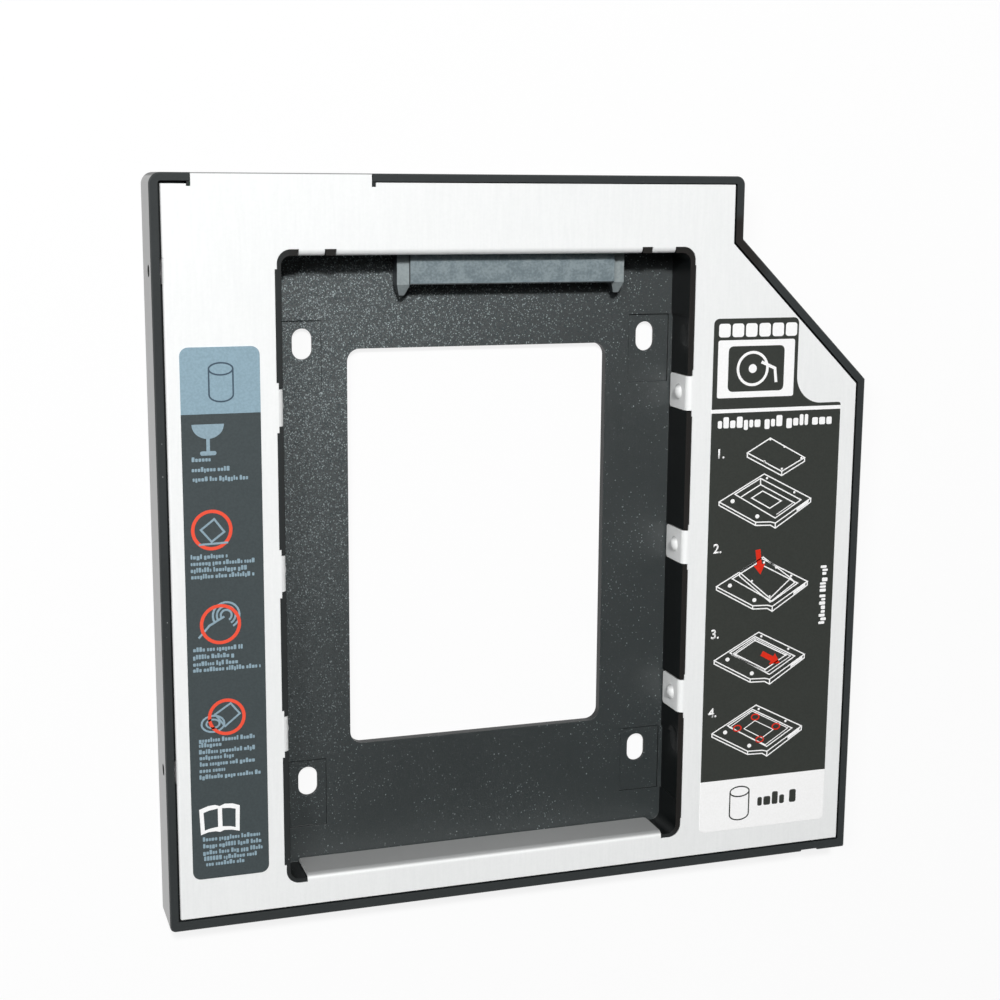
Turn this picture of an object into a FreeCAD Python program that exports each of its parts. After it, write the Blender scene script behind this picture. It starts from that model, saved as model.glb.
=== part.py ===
import FreeCAD, Part
import math
import os

# Laptop drive caddy: a slim black tray that takes the place of a laptop's optical drive
# and carries a 2.5 inch drive in an open well. A folded aluminium sheet covers the tray,
# and a small circuit board joins the drive's 22-way socket to the slim plug at the rear.
#
# Millimetres. X runs across the caddy, Y from the faceplate edge to the rear (plug) edge,
# Z up through the cover. The origin is under the middle of the tray.

# 2.5 inch drive: size, bottom screw holes, and the room it gets in the well
DRIVE_WIDTH = 69.85
DRIVE_LENGTH = 100.2
DRIVE_HOLE_SIDE = 4.065
DRIVE_HOLE_REAR = 14.0
DRIVE_HOLE_FRONT = 9.6
DRIVE_SIDE_ROOM = 1.075
DRIVE_REAR_ROOM = 1.0
DRIVE_SLIDE_ROOM = 4.2
WELL_CORNER = 1.6

# Strips of the tray round the well. With the well they give the 128 x 126 x 9.5 of a slim bay
STRIP_LEFT = 20.7
STRIP_RIGHT = 35.3
STRIP_REAR = 13.1
STRIP_FRONT = 7.5
BAY_HEIGHT = 9.5

# Cut-off rear right corner, and the corner radii of the outline
CUT_CORNER_WIDTH = 25.4
CUT_CORNER_STEP = 10.8
CUT_CORNER_SLOPE = 25.3
REAR_LEFT_RADIUS = 1.9
REAR_RIGHT_RADIUS = 1.5
FRONT_LEFT_RADIUS = 1.0
FRONT_RIGHT_RADIUS = 0.3
NOTCH_RADIUS = 0.3
EDGE_CHAMFER = 0.2

# Tray walls
FLOOR = 1.6
RIM_SIDE = 1.45
RIM_FRONT = 1.7
RIM_REAR = 1.3
COVER_LEDGE = 0.9
WELL_RIM = 1.05
FRONT_RIM = 1.35
FRONT_SETBACK = 0.7
WELL_RIM_SINK = 0.2
RIB_WALL = 1.0
RIBS_PER_SIDE = 5

# Folded cover
SHEET = 0.5
COVER_SINK = 0.1
COVER_GAP = 0.35
COVER_REAR_GAP = 0.15
SOFT_EDGE = 0.4
WELL_GAP = 0.06
BEND_RADIUS = 1.0
LEFT_STEP = 0.35
RIGHT_STEP = 0.15
CORNER_STEP_LENGTH = 0.5

# Slots for the drive screws, in shallow pads, with room for the heads below
SLOT_WIDTH = 3.4
SLOT_LENGTH = 5.2
SLOT_SPREAD = 0.2
PAD_DEPTH = 0.4
PAD_LENGTH = 12.1
PAD_REAR_REACH = 3.95
PAD_WIDTH = 7.65
PAD_WALL_GAP = 0.5
HEAD_POCKET_DEPTH = 0.7
HEAD_POCKET_WIDTH = 7.0
HEAD_POCKET_LENGTH = 8.8

# Window in the floor, by the border left round it
FLOOR_BORDER_SIDE = 12.55
FLOOR_BORDER_REAR = 15.95
FLOOR_BORDER_FRONT = 19.95
FLOOR_WINDOW_RADIUS = 2.2

# Shallow pockets and round dents in the long well walls, beside the drive's screws
WALL_POCKET_DEPTH = 0.25
WALL_POCKET_TOP = 8.5
DENT_RADIUS = 2.6
DENT_DEPTH = 0.6
DENT_HEIGHT = 7.2
DENT_OFFSET = 0.6
DENT_SHIFT = 2.3

# Folded tabs at the drive's sides, lips at its ends
TAB_WIDTH = 6.1
TAB_OFFSET = 0.45
TAB_PITCH = 27.7
TAB_COUNT = 3
TAB_FLOOR_GAP = 0.55
TAB_CORNER = 0.6
TAB_STEP_REACH = 1.05
TAB_PROUD = 0.1
DIMPLE_RADIUS = 1.4
DIMPLE_HEIGHT = 0.65
DIMPLE_Z = 5.7
LIP_END_SPACE = 2.95
SHORT_LIP = 4.25
LIP_RELIEF = 1.95
LIP_SOCKET_GAP = 0.4
FRONT_LIP_FLOOR_GAP = 0.25
FOLD_GAP = 0.15

# Flanges behind the two side screw holes
SIDE_HOLE_INSET = 15.4
SIDE_HOLE_SPACING = 82.7
SIDE_HOLE_Z = 6.6
SIDE_SCREW = 2.0
FLANGE_WIDTH = 4.2
FLANGE_FLOOR_GAP = 1.6
FLANGE_BEND = 0.6

# Opening at the rear left for the slim plug
PORT_INSET = 6.4
PORT_SIDE_ROOM = 1.05
HOOK_WIDTH = 0.45
HOOK_REACH = 0.7
HOOK_GAP = 0.12
CORNER_SETBACK = 0.45

# Groove in the front face for the faceplate's clip
CLIP_GROOVE_INSET = 7.4
CLIP_GROOVE_WIDTH = 3.5
CLIP_GROOVE_DEPTH = 0.35
CLIP_GROOVE_FLOOR = 1.4

# Circuit board and its screws
BOARD = 1.0
BOARD_UNDER = 2.4
BOARD_INSET = 4.5
BOARD_RIGHT_REACH = 4.0
BOARD_FRONT_GAP = 0.35
BOARD_REAR_GAP = 0.3
BOARD_EAR = 1.1
BOARD_GAP = 0.1
BOARD_CORNER = 0.5
BOSS_DIAMETER = 4.4
SCREW_DIAMETER = 1.6
SCREW_HEAD_DIAMETER = 3.2
SCREW_HEAD = 0.9
SCREW_HOLE_GAP = 0.15
SCREW_BITE = 1.5
SCREW_PLUG_SPACE = 3.2
SCREW_SOCKET_SPACE = 3.0

# Drive socket (22-way) at the rear of the well
CONTACT_PITCH = 1.27
SOCKET_OFFSET_X = 4.7
SOCKET_END_WALL = 1.6
SOCKET_REACH = 5.1
SOCKET_OVERLAP = 2.0
SOCKET_BOTTOM = 2.5
SOCKET_TOP = 6.2
SOCKET_PORT_GAP = 0.25
POST_WIDTH = 2.1
POST_REACH = 1.85
POST_TIP = 0.9
POST_BOTTOM = 3.0
POST_TOP = 5.4
POST_TIP_BOTTOM = 3.6
POST_TIP_TOP = 4.3
CAVITY_DEPTH = 4.6
CAVITY_HEIGHT = 1.5
CAVITY_Z = 4.4
CAVITY_KEY = 0.9
KEY_WIDTH = 1.3
CAVITY_END = 1.53
CAVITY_RIB = 2.4
SIGNAL_COUNT = 7
POWER_COUNT = 15
BLADE_WIDTH = 0.5
BLADE = 0.2
TAIL_LENGTH = 1.0

# Slim plug (7 signal and 6 power contacts) in the rear opening
PLUG_DEPTH = 7.4
PLUG_SINK = 0.2
PLUG_COVER_GAP = 0.8
PLUG_SHELL = 0.6
PLUG_CAVITY_DEPTH = 5.4
TONGUE = 1.1
TONGUE_KEY = 0.9
SLIM_POWER_COUNT = 6
TONGUE_END = 1.4
TONGUE_SPACE = 2.2
TONGUE_END_SPACE = 2.95

# Metal board locks of the two connectors
LOCK = 0.3
LOCK_WIDTH = 2.0
LOCK_LENGTH = 1.2
LOCK_HEIGHT = 2.0

# Chip parts on the board
CHIP_LENGTH = 1.6
CHIP_WIDTH = 0.8
CAPACITOR_HEIGHT = 0.8
RESISTOR_HEIGHT = 0.45
CHIP_PITCH = 3.0
CAPACITOR_COUNT = 3
RESISTOR_COUNT = 2
CHIP_SPACE = 3.4

# Printed labels on the cover
LABEL = 0.1
LEFT_LABEL_SIDE = 4.05
LEFT_LABEL_WELL = 3.75
LEFT_LABEL_FRONT = 8.9
LEFT_LABEL_REAR = 27.4
LEFT_LABEL_RADIUS = 1.4
RIGHT_LABEL_SIDE = 4.85
RIGHT_LABEL_WELL = 4.75
RIGHT_LABEL_FRONT = 6.2
RIGHT_LABEL_REAR = 24.6
RIGHT_LABEL_SHOULDER = 4.0
RIGHT_LABEL_FILLET = 5.0
RIGHT_LABEL_RADIUS = 0.5

# Places worked out from the sizes above
WELL_HALF = DRIVE_WIDTH / 2 + DRIVE_SIDE_ROOM
WELL_LENGTH = DRIVE_REAR_ROOM + DRIVE_LENGTH + DRIVE_SLIDE_ROOM
HALF_WIDTH = (STRIP_LEFT + 2 * WELL_HALF + STRIP_RIGHT) / 2
HALF_DEPTH = (STRIP_FRONT + WELL_LENGTH + STRIP_REAR) / 2
COVER_TOP = BAY_HEIGHT - COVER_SINK
COVER_UNDER = COVER_TOP - SHEET
BEND_UNDER = COVER_TOP - BEND_RADIUS - FOLD_GAP
RIM_INNER_X = HALF_WIDTH - RIM_SIDE
RIM_INNER_REAR_Y = HALF_DEPTH - RIM_REAR

WELL_LEFT_X = -HALF_WIDTH + STRIP_LEFT
WELL_RIGHT_X = HALF_WIDTH - STRIP_RIGHT
WELL_REAR_Y = HALF_DEPTH - STRIP_REAR
WELL_FRONT_Y = -HALF_DEPTH + STRIP_FRONT
WELL_MIDDLE_Y = (WELL_REAR_Y + WELL_FRONT_Y) / 2
WELL_RIM_TOP = BAY_HEIGHT - WELL_RIM_SINK
WELL_WALL = WELL_RIM + COVER_LEDGE
DRIVE_AXIS_X = (WELL_LEFT_X + WELL_RIGHT_X) / 2
DRIVE_REAR_Y = WELL_REAR_Y - DRIVE_REAR_ROOM
DRIVE_FRONT_Y = DRIVE_REAR_Y - DRIVE_LENGTH
SLOT_XS = [DRIVE_AXIS_X + side * (DRIVE_WIDTH / 2 - DRIVE_HOLE_SIDE + SLOT_SPREAD) for side in (-1, 1)]
SLOT_YS = [DRIVE_REAR_Y - DRIVE_HOLE_REAR, DRIVE_FRONT_Y + DRIVE_HOLE_FRONT]
DENT_YS = [SLOT_YS[0] + DENT_OFFSET, SLOT_YS[1] + DENT_OFFSET + DENT_SHIFT]
TAB_YS = [WELL_MIDDLE_Y + TAB_OFFSET + TAB_PITCH * (i - (TAB_COUNT - 1) / 2) for i in range(TAB_COUNT)]
LIP_HALF_SPAN = WELL_HALF - LIP_END_SPACE
SIDE_HOLE_YS = [HALF_DEPTH - SIDE_HOLE_INSET, HALF_DEPTH - SIDE_HOLE_INSET - SIDE_HOLE_SPACING]

SIGNAL_CAVITY = SIGNAL_COUNT * CONTACT_PITCH + CAVITY_END
POWER_CAVITY = POWER_COUNT * CONTACT_PITCH + CAVITY_END
SOCKET_X = DRIVE_AXIS_X + SOCKET_OFFSET_X
SOCKET_HALF = (SIGNAL_CAVITY + CAVITY_RIB + POWER_CAVITY) / 2 + SOCKET_END_WALL
POSTS_HALF = SOCKET_HALF + POST_WIDTH
SOCKET_FACE_Y = WELL_REAR_Y - SOCKET_REACH

SIGNAL_TONGUE = SIGNAL_COUNT * CONTACT_PITCH + TONGUE_END
POWER_TONGUE = SLIM_POWER_COUNT * CONTACT_PITCH + TONGUE_END
PLUG_WIDTH = SIGNAL_TONGUE + TONGUE_SPACE + POWER_TONGUE + 2 * TONGUE_END_SPACE
PORT_LEFT_X = -HALF_WIDTH + PORT_INSET
PORT_RIGHT_X = PORT_LEFT_X + PLUG_WIDTH + 2 * PORT_SIDE_ROOM
PLUG_LEFT_X = PORT_LEFT_X + PORT_SIDE_ROOM
PLUG_RIGHT_X = PLUG_LEFT_X + PLUG_WIDTH
PLUG_FACE_Y = HALF_DEPTH - PLUG_SINK
PLUG_BACK_Y = PLUG_FACE_Y - PLUG_DEPTH

BOARD_TOP = BOARD_UNDER + BOARD
BOARD_LEFT_X = -HALF_WIDTH + BOARD_INSET
EAR_LEFT_X = BOARD_LEFT_X + BOARD_EAR
BOARD_FRONT_Y = WELL_REAR_Y + WELL_WALL + BOARD_FRONT_GAP
BOARD_REAR_Y = RIM_INNER_REAR_Y - COVER_LEDGE - BOARD_REAR_GAP
SOCKET_BACK_Y = BOARD_FRONT_Y + SOCKET_OVERLAP
PLUG_TOP = COVER_UNDER - PLUG_COVER_GAP
TONGUE_TOP = (BOARD_TOP + PLUG_TOP + TONGUE) / 2
SCREW_XS = [PLUG_RIGHT_X + SCREW_PLUG_SPACE, SOCKET_X + POSTS_HALF + SCREW_SOCKET_SPACE]
SCREW_Y = BOARD_REAR_Y - BOSS_DIAMETER / 2 - BOARD_GAP
BOARD_RIGHT_X = SCREW_XS[1] + BOARD_RIGHT_REACH
CHIP_Y = SCREW_Y + BOARD_GAP

OVERCUT = 1.0


def vec(x, y, z=0.0):
    return FreeCAD.Vector(x, y, z)


def box(x0, x1, y0, y1, z0, z1):
    return Part.makeBox(x1 - x0, y1 - y0, z1 - z0, vec(x0, y0, z0))


def rounded_wire(corners, z):
    """Closed wire through (x, y, radius) corners, each turned by an arc of its radius."""
    edges = []
    ends = []
    count = len(corners)
    for i, (x, y, radius) in enumerate(corners):
        here = vec(x, y, z)
        if radius == 0:
            ends.append((here, here))
            continue
        back = (vec(corners[i - 1][0], corners[i - 1][1], z) - here).normalize()
        ahead = (vec(corners[(i + 1) % count][0], corners[(i + 1) % count][1], z) - here).normalize()
        half_turn = back.getAngle(ahead) / 2
        start = here + back * (radius / math.tan(half_turn))
        end = here + ahead * (radius / math.tan(half_turn))
        middle = here + (back + ahead).normalize() * (radius / math.sin(half_turn) - radius)
        edges.append(Part.Arc(start, middle, end).toShape())
        ends.append((start, end))
    for i in range(count):
        if ends[i - 1][1].distanceToPoint(ends[i][0]) > 1e-6:
            edges.append(Part.LineSegment(ends[i - 1][1], ends[i][0]).toShape())
    return Part.Wire(Part.__sortEdges__(edges))


def slab(corners, z0, z1):
    """Prism between two heights on a rounded outline."""
    return Part.Face(rounded_wire(corners, z0)).extrude(vec(0, 0, z1 - z0))


def rectangle(x0, x1, y0, y1, radius=0.0):
    return [(x0, y0, radius), (x1, y0, radius), (x1, y1, radius), (x0, y1, radius)]


def oblong(x, y, width, length):
    """Outline of a slot with round ends that is longer along Y."""
    return rectangle(x - width / 2, x + width / 2, y - length / 2, y + length / 2, width / 2 - 0.01)


def side_prism(points, x0, x1):
    """Prism along X on a profile of (y, z) points."""
    wire = Part.makePolygon([vec(x0, y, z) for y, z in points] + [vec(x0, points[0][0], points[0][1])])
    return Part.Face(wire).extrude(vec(x1 - x0, 0, 0))


def upright_cylinder(x, y, z0, z1, diameter):
    return Part.makeCylinder(diameter / 2, z1 - z0, vec(x, y, z0))


def cut_all(body, cutters):
    for cutter in cutters:
        body = body.cut(cutter)
    return body


def fuse_all(body, pieces):
    for piece in pieces:
        body = body.fuse(piece)
    return body


def slope_y(x, inset):
    """Y of the cut corner's slope at a given X, with the slope moved in by inset."""
    slope = CUT_CORNER_SLOPE / CUT_CORNER_WIDTH
    along = x - (HALF_WIDTH - CUT_CORNER_WIDTH)
    return HALF_DEPTH - CUT_CORNER_STEP - slope * along - inset * math.hypot(1, slope)


def slope_x(y, inset):
    """X of the cut corner's slope at a given Y, with the slope moved in by inset."""
    slope = CUT_CORNER_SLOPE / CUT_CORNER_WIDTH
    return HALF_WIDTH - (y - slope_y(HALF_WIDTH, inset)) / slope


def bay_outline(side, front, rear, trim=0.0):
    """Outline of the bay, moved in by one distance per side and with its corners eased by trim."""
    left = -HALF_WIDTH + side
    right = HALF_WIDTH - side
    neck = HALF_WIDTH - CUT_CORNER_WIDTH - side

    def eased(radius):
        return max(radius - trim, 0.1)

    return [
        (left, -HALF_DEPTH + front, eased(FRONT_LEFT_RADIUS)),
        (right, -HALF_DEPTH + front, eased(FRONT_RIGHT_RADIUS)),
        (right, slope_y(right, side), NOTCH_RADIUS),
        (neck, slope_y(neck, side), NOTCH_RADIUS),
        (neck, HALF_DEPTH - rear, eased(REAR_RIGHT_RADIUS)),
        (left, HALF_DEPTH - rear, eased(REAR_LEFT_RADIUS)),
    ]


def inner_outline(gap):
    """Outline inside the rim, moved in from it by a gap."""
    return bay_outline(RIM_SIDE + gap, RIM_FRONT + gap, RIM_REAR + gap, RIM_SIDE + gap)


def well_outline(grow):
    """Outline of the drive well, grown outwards."""
    return rectangle(
        WELL_LEFT_X - grow, WELL_RIGHT_X + grow, WELL_FRONT_Y - grow, WELL_REAR_Y + grow, WELL_CORNER + grow)


def well_space():
    """Outline of the tray's well, whose front wall stands back behind the front lip."""
    return rectangle(WELL_LEFT_X, WELL_RIGHT_X, WELL_FRONT_Y - FRONT_SETBACK, WELL_REAR_Y, WELL_CORNER)


def wide_spans(inset):
    """Y ranges in which the cover's window is at its widest: between the corners and the tabs."""
    corner = WELL_CORNER + CORNER_STEP_LENGTH
    reach = TAB_WIDTH / 2 + TAB_STEP_REACH
    lows = [WELL_FRONT_Y + corner] + [y + reach for y in TAB_YS]
    highs = [y - reach for y in TAB_YS] + [WELL_REAR_Y - corner]
    return [(low + inset, high - inset) for low, high in zip(lows, highs)]


def window_block(inset, z0, z1):
    """Block that fills the cover's window, or the well's rim inside it when inset."""
    wide = WELL_RIM - inset
    outline = rectangle(
        WELL_LEFT_X - wide + LEFT_STEP, WELL_RIGHT_X + wide - RIGHT_STEP,
        WELL_FRONT_Y - FRONT_RIM + inset, WELL_REAR_Y + wide, WELL_CORNER + wide - LEFT_STEP)
    strips = [
        slab(rectangle(WELL_LEFT_X - wide, WELL_RIGHT_X + wide, low, high), z0, z1)
        for low, high in wide_spans(inset)
    ]
    return fuse_all(slab(outline, z0, z1), strips)


def lip_spans():
    """X ranges of the three rear lips: short, long, short."""
    left = DRIVE_AXIS_X - LIP_HALF_SPAN
    right = DRIVE_AXIS_X + LIP_HALF_SPAN
    reach = SHORT_LIP + LIP_RELIEF
    return [(left, left + SHORT_LIP), (left + reach, right - reach), (right - SHORT_LIP, right)]


def cross_ribs():
    """Ribs from the outer wall to the well wall that hold the cover flat."""
    half = RIB_WALL / 2
    ribs = []
    for i in range(RIBS_PER_SIDE):
        y = WELL_FRONT_Y + WELL_LENGTH * (i + 0.5) / RIBS_PER_SIDE
        ribs.append(box(-HALF_WIDTH, WELL_LEFT_X, y - half, y + half, 0, BAY_HEIGHT))
        ribs.append(box(WELL_RIGHT_X, HALF_WIDTH, y - half, y + half, 0, BAY_HEIGHT))
    middle = (WELL_RIGHT_X + WELL_WALL + RIM_INNER_X) / 2
    ribs.append(box(middle - half, middle + half, -HALF_DEPTH, WELL_REAR_Y, 0, BAY_HEIGHT))
    return ribs


def tray_shell():
    """Floor, outer wall with the ledge for the cover, ribs, and the wall and rim of the well."""
    body = slab(bay_outline(0, 0, 0), 0, BAY_HEIGHT)
    level_edges = [e for e in body.Edges if e.BoundBox.ZLength < 1e-6]
    body = body.makeChamfer(EDGE_CHAMFER, level_edges)
    body = body.cut(slab(inner_outline(0), COVER_UNDER, BAY_HEIGHT + OVERCUT))
    body = body.cut(slab(inner_outline(COVER_LEDGE), FLOOR, BAY_HEIGHT))
    under_cover = slab(inner_outline(0), FLOOR / 2, COVER_UNDER)
    body = fuse_all(body, [rib.common(under_cover) for rib in cross_ribs()])
    body = body.fuse(slab(well_outline(WELL_WALL), FLOOR / 2, COVER_UNDER))
    body = body.fuse(window_block(WELL_GAP, FLOOR / 2, WELL_RIM_TOP))
    return body.cut(slab(well_space(), FLOOR, BAY_HEIGHT + OVERCUT))


def drive_slots():
    """Cutters of the four screw slots: through slot, pad on the floor, head pocket below."""
    cutters = []
    for side, slot_x in zip((-1, 1), SLOT_XS):
        pad_outer = DRIVE_AXIS_X + side * (WELL_HALF - PAD_WALL_GAP)
        pad_left, pad_right = sorted((pad_outer, pad_outer - side * PAD_WIDTH))
        for y in SLOT_YS:
            rear = y + PAD_REAR_REACH
            cutters.append(slab(oblong(slot_x, y, SLOT_WIDTH, SLOT_LENGTH), -OVERCUT, FLOOR + OVERCUT))
            cutters.append(slab(
                oblong(slot_x, y, HEAD_POCKET_WIDTH, HEAD_POCKET_LENGTH), -OVERCUT, HEAD_POCKET_DEPTH))
            cutters.append(box(
                pad_left, pad_right, rear - PAD_LENGTH, rear, FLOOR - PAD_DEPTH, FLOOR + OVERCUT))
    return cutters


def wall_pockets():
    """Shallow pockets in the long well walls beside the pads, each with a round dent."""
    sphere_radius = (DENT_RADIUS ** 2 + DENT_DEPTH ** 2) / (2 * DENT_DEPTH)
    cutters = []
    for side, wall_x in ((-1, WELL_LEFT_X), (1, WELL_RIGHT_X)):
        left, right = sorted((wall_x + side * WALL_POCKET_DEPTH, wall_x - side * OVERCUT))
        for slot_y, dent_y in zip(SLOT_YS, DENT_YS):
            rear = slot_y + PAD_REAR_REACH
            cutters.append(box(left, right, rear - PAD_LENGTH, rear, FLOOR, WALL_POCKET_TOP))
            centre_x = wall_x - side * (sphere_radius - DENT_DEPTH)
            ball = Part.makeSphere(sphere_radius, vec(centre_x, dent_y, DENT_HEIGHT))
            below_rim = box(wall_x - OVERCUT, wall_x + OVERCUT, dent_y - sphere_radius,
                            dent_y + sphere_radius, FLOOR, COVER_UNDER)
            cutters.append(ball.common(below_rim))
    return cutters


def tab_clearances():
    """Room in the long well walls for the folded side tabs."""
    cutters = []
    behind = SHEET + FOLD_GAP - TAB_PROUD
    for y in TAB_YS:
        low = y - TAB_WIDTH / 2 - FOLD_GAP
        high = y + TAB_WIDTH / 2 + FOLD_GAP
        cutters.append(box(WELL_LEFT_X - behind, WELL_LEFT_X + OVERCUT, low, high, FLOOR, BAY_HEIGHT))
        cutters.append(box(WELL_LEFT_X - 2 * WELL_WALL, WELL_LEFT_X, low, high, BEND_UNDER, BAY_HEIGHT))
        cutters.append(box(WELL_RIGHT_X - OVERCUT, WELL_RIGHT_X + behind, low, high, FLOOR, BAY_HEIGHT))
        cutters.append(box(WELL_RIGHT_X, WELL_RIGHT_X + 2 * WELL_WALL, low, high, BEND_UNDER, BAY_HEIGHT))
    return cutters


def lip_clearances():
    """Room in the end walls of the well for the folded front and rear lips."""
    behind = SHEET + FOLD_GAP
    low_z = SOCKET_TOP + LIP_SOCKET_GAP - FOLD_GAP
    cutters = []
    for left, right in lip_spans():
        x0 = left - FOLD_GAP
        x1 = right + FOLD_GAP
        cutters.append(box(x0, x1, WELL_REAR_Y - OVERCUT, WELL_REAR_Y + behind, low_z, BAY_HEIGHT))
        cutters.append(box(x0, x1, WELL_REAR_Y, WELL_REAR_Y + 2 * WELL_WALL, BEND_UNDER, BAY_HEIGHT))
    x0 = DRIVE_AXIS_X - LIP_HALF_SPAN - FOLD_GAP
    x1 = DRIVE_AXIS_X + LIP_HALF_SPAN + FOLD_GAP
    cutters.append(box(x0, x1, WELL_FRONT_Y - behind, WELL_FRONT_Y + OVERCUT, FLOOR, BAY_HEIGHT))
    cutters.append(box(x0, x1, WELL_FRONT_Y - 2 * WELL_WALL, WELL_FRONT_Y, BEND_UNDER, BAY_HEIGHT))
    return cutters


def socket_clearance():
    """Opening in the rear well wall through which the drive socket reaches."""
    return box(
        SOCKET_X - POSTS_HALF - SOCKET_PORT_GAP, SOCKET_X + POSTS_HALF + SOCKET_PORT_GAP,
        WELL_REAR_Y - OVERCUT, WELL_REAR_Y + 2 * WELL_WALL, SOCKET_BOTTOM - SOCKET_PORT_GAP, BAY_HEIGHT)


def rear_port():
    """Opening in the rear wall for the slim plug, and room beside it for the board's ear."""
    inner_y = RIM_INNER_REAR_Y - COVER_LEDGE - OVERCUT
    top = BAY_HEIGHT + OVERCUT
    return [
        box(PORT_LEFT_X, PORT_RIGHT_X, inner_y, HALF_DEPTH + OVERCUT, FLOOR, top),
        box(EAR_LEFT_X - BOARD_GAP, PORT_LEFT_X + OVERCUT, inner_y, RIM_INNER_REAR_Y, FLOOR, top),
    ]


def rim_hooks():
    """Small inward hooks at the two ends of the rear rim, where the port opens it."""
    low_y = RIM_INNER_REAR_Y - HOOK_REACH
    high_y = RIM_INNER_REAR_Y + RIM_REAR / 2
    low_z = BOARD_TOP + BOARD_GAP
    return [
        box(PORT_LEFT_X - HOOK_WIDTH, PORT_LEFT_X, low_y, high_y, low_z, BAY_HEIGHT - EDGE_CHAMFER),
        box(PORT_RIGHT_X, PORT_RIGHT_X + HOOK_WIDTH, low_y, high_y, low_z, BAY_HEIGHT - EDGE_CHAMFER),
    ]


def side_holes():
    """Screw holes in the left wall, and the slots in which the cover's flanges hang."""
    cutters = []
    reach = FLANGE_WIDTH / 2 + FOLD_GAP
    for y in SIDE_HOLE_YS:
        cutters.append(Part.makeCylinder(
            SIDE_SCREW / 2, RIM_SIDE + OVERCUT,
            vec(-HALF_WIDTH - OVERCUT, y, SIDE_HOLE_Z), vec(1, 0, 0)))
        cutters.append(box(
            -RIM_INNER_X, -RIM_INNER_X + COVER_LEDGE + OVERCUT, y - reach, y + reach, FLOOR, BAY_HEIGHT))
    return cutters


def clip_groove():
    """Groove in the front face in which a faceplate's clip would snap."""
    middle = HALF_WIDTH - CLIP_GROOVE_INSET
    return box(
        middle - CLIP_GROOVE_WIDTH / 2, middle + CLIP_GROOVE_WIDTH / 2,
        -HALF_DEPTH - OVERCUT, -HALF_DEPTH + CLIP_GROOVE_DEPTH, CLIP_GROOVE_FLOOR, BAY_HEIGHT + OVERCUT)


def floor_window():
    outline = rectangle(
        WELL_LEFT_X + FLOOR_BORDER_SIDE, WELL_RIGHT_X - FLOOR_BORDER_SIDE,
        WELL_FRONT_Y + FLOOR_BORDER_FRONT, WELL_REAR_Y - FLOOR_BORDER_REAR, FLOOR_WINDOW_RADIUS)
    return slab(outline, -OVERCUT, FLOOR + OVERCUT)


def make_tray():
    bosses = [upright_cylinder(x, SCREW_Y, FLOOR / 2, BOARD_UNDER, BOSS_DIAMETER) for x in SCREW_XS]
    pilots = [
        upright_cylinder(x, SCREW_Y, BOARD_UNDER - SCREW_BITE, BOARD_UNDER + OVERCUT, SCREW_DIAMETER)
        for x in SCREW_XS
    ]
    tray = fuse_all(tray_shell(), bosses)
    tray = cut_all(tray, [floor_window(), socket_clearance(), clip_groove()] + pilots)
    tray = cut_all(tray, drive_slots() + wall_pockets() + tab_clearances() + lip_clearances())
    tray = cut_all(tray, rear_port() + side_holes())
    return fuse_all(tray, rim_hooks()).removeSplitter()


def fold(width, run, drop, outer):
    """Sheet strip that runs in along X, bends down at x = 0 and ends drop below the sheet's top.

    The strip is width wide along Y from 0, the outer face of its leg is x = 0, and outer is the
    bend's outside radius.
    """
    inner = outer - SHEET
    outer_middle = (math.sqrt(0.5) - 1) * outer
    inner_middle = math.sqrt(0.5) * inner - outer
    edges = [
        Part.LineSegment(vec(-run, 0, 0), vec(-outer, 0, 0)),
        Part.Arc(vec(-outer, 0, 0), vec(outer_middle, 0, outer_middle), vec(0, 0, -outer)),
        Part.LineSegment(vec(0, 0, -outer), vec(0, 0, -drop)),
        Part.LineSegment(vec(0, 0, -drop), vec(-SHEET, 0, -drop)),
        Part.LineSegment(vec(-SHEET, 0, -drop), vec(-SHEET, 0, -outer)),
        Part.Arc(vec(-SHEET, 0, -outer), vec(inner_middle, 0, inner_middle), vec(-outer, 0, -SHEET)),
        Part.LineSegment(vec(-outer, 0, -SHEET), vec(-run, 0, -SHEET)),
        Part.LineSegment(vec(-run, 0, -SHEET), vec(-run, 0, 0)),
    ]
    return Part.Face(Part.Wire([edge.toShape() for edge in edges])).extrude(vec(0, width, 0))


def placed_fold(width, run, drop, x, y, turn, outer=BEND_RADIUS):
    """Fold with eased lower corners, turned about Z and moved to its place at the cover's top."""
    strip = fold(width, run, drop, outer)
    low_edges = [e for e in strip.Edges if e.BoundBox.ZMax < -drop + 1e-6 and e.BoundBox.YLength < 1e-6]
    strip = strip.makeFillet(TAB_CORNER, low_edges)
    strip.rotate(vec(0, 0, 0), vec(0, 0, 1), turn)
    strip.translate(vec(x, y, COVER_TOP))
    return strip


def dimple(face_x, side, y):
    """Round bump pressed out of a tab towards the drive, and the hollow left behind it."""
    radius = (DIMPLE_RADIUS ** 2 + DIMPLE_HEIGHT ** 2) / (2 * DIMPLE_HEIGHT)
    centre_x = face_x + side * (radius - DIMPLE_HEIGHT)
    half_space = box(-radius, radius, -radius, radius, -radius, radius)
    half_space.translate(vec(face_x - side * (radius - SHEET / 2), y, DIMPLE_Z))
    bump = Part.makeSphere(radius, vec(centre_x, y, DIMPLE_Z)).common(half_space)
    half_space.translate(vec(side * SHEET, 0, 0))
    hollow = Part.makeSphere(radius, vec(centre_x + side * SHEET, y, DIMPLE_Z)).common(half_space)
    return bump, hollow


def tab_faces():
    """(x of the face that looks at the drive, outward direction) of the left and right tabs."""
    return ((WELL_LEFT_X + TAB_PROUD, -1), (WELL_RIGHT_X - TAB_PROUD, 1))


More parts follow.
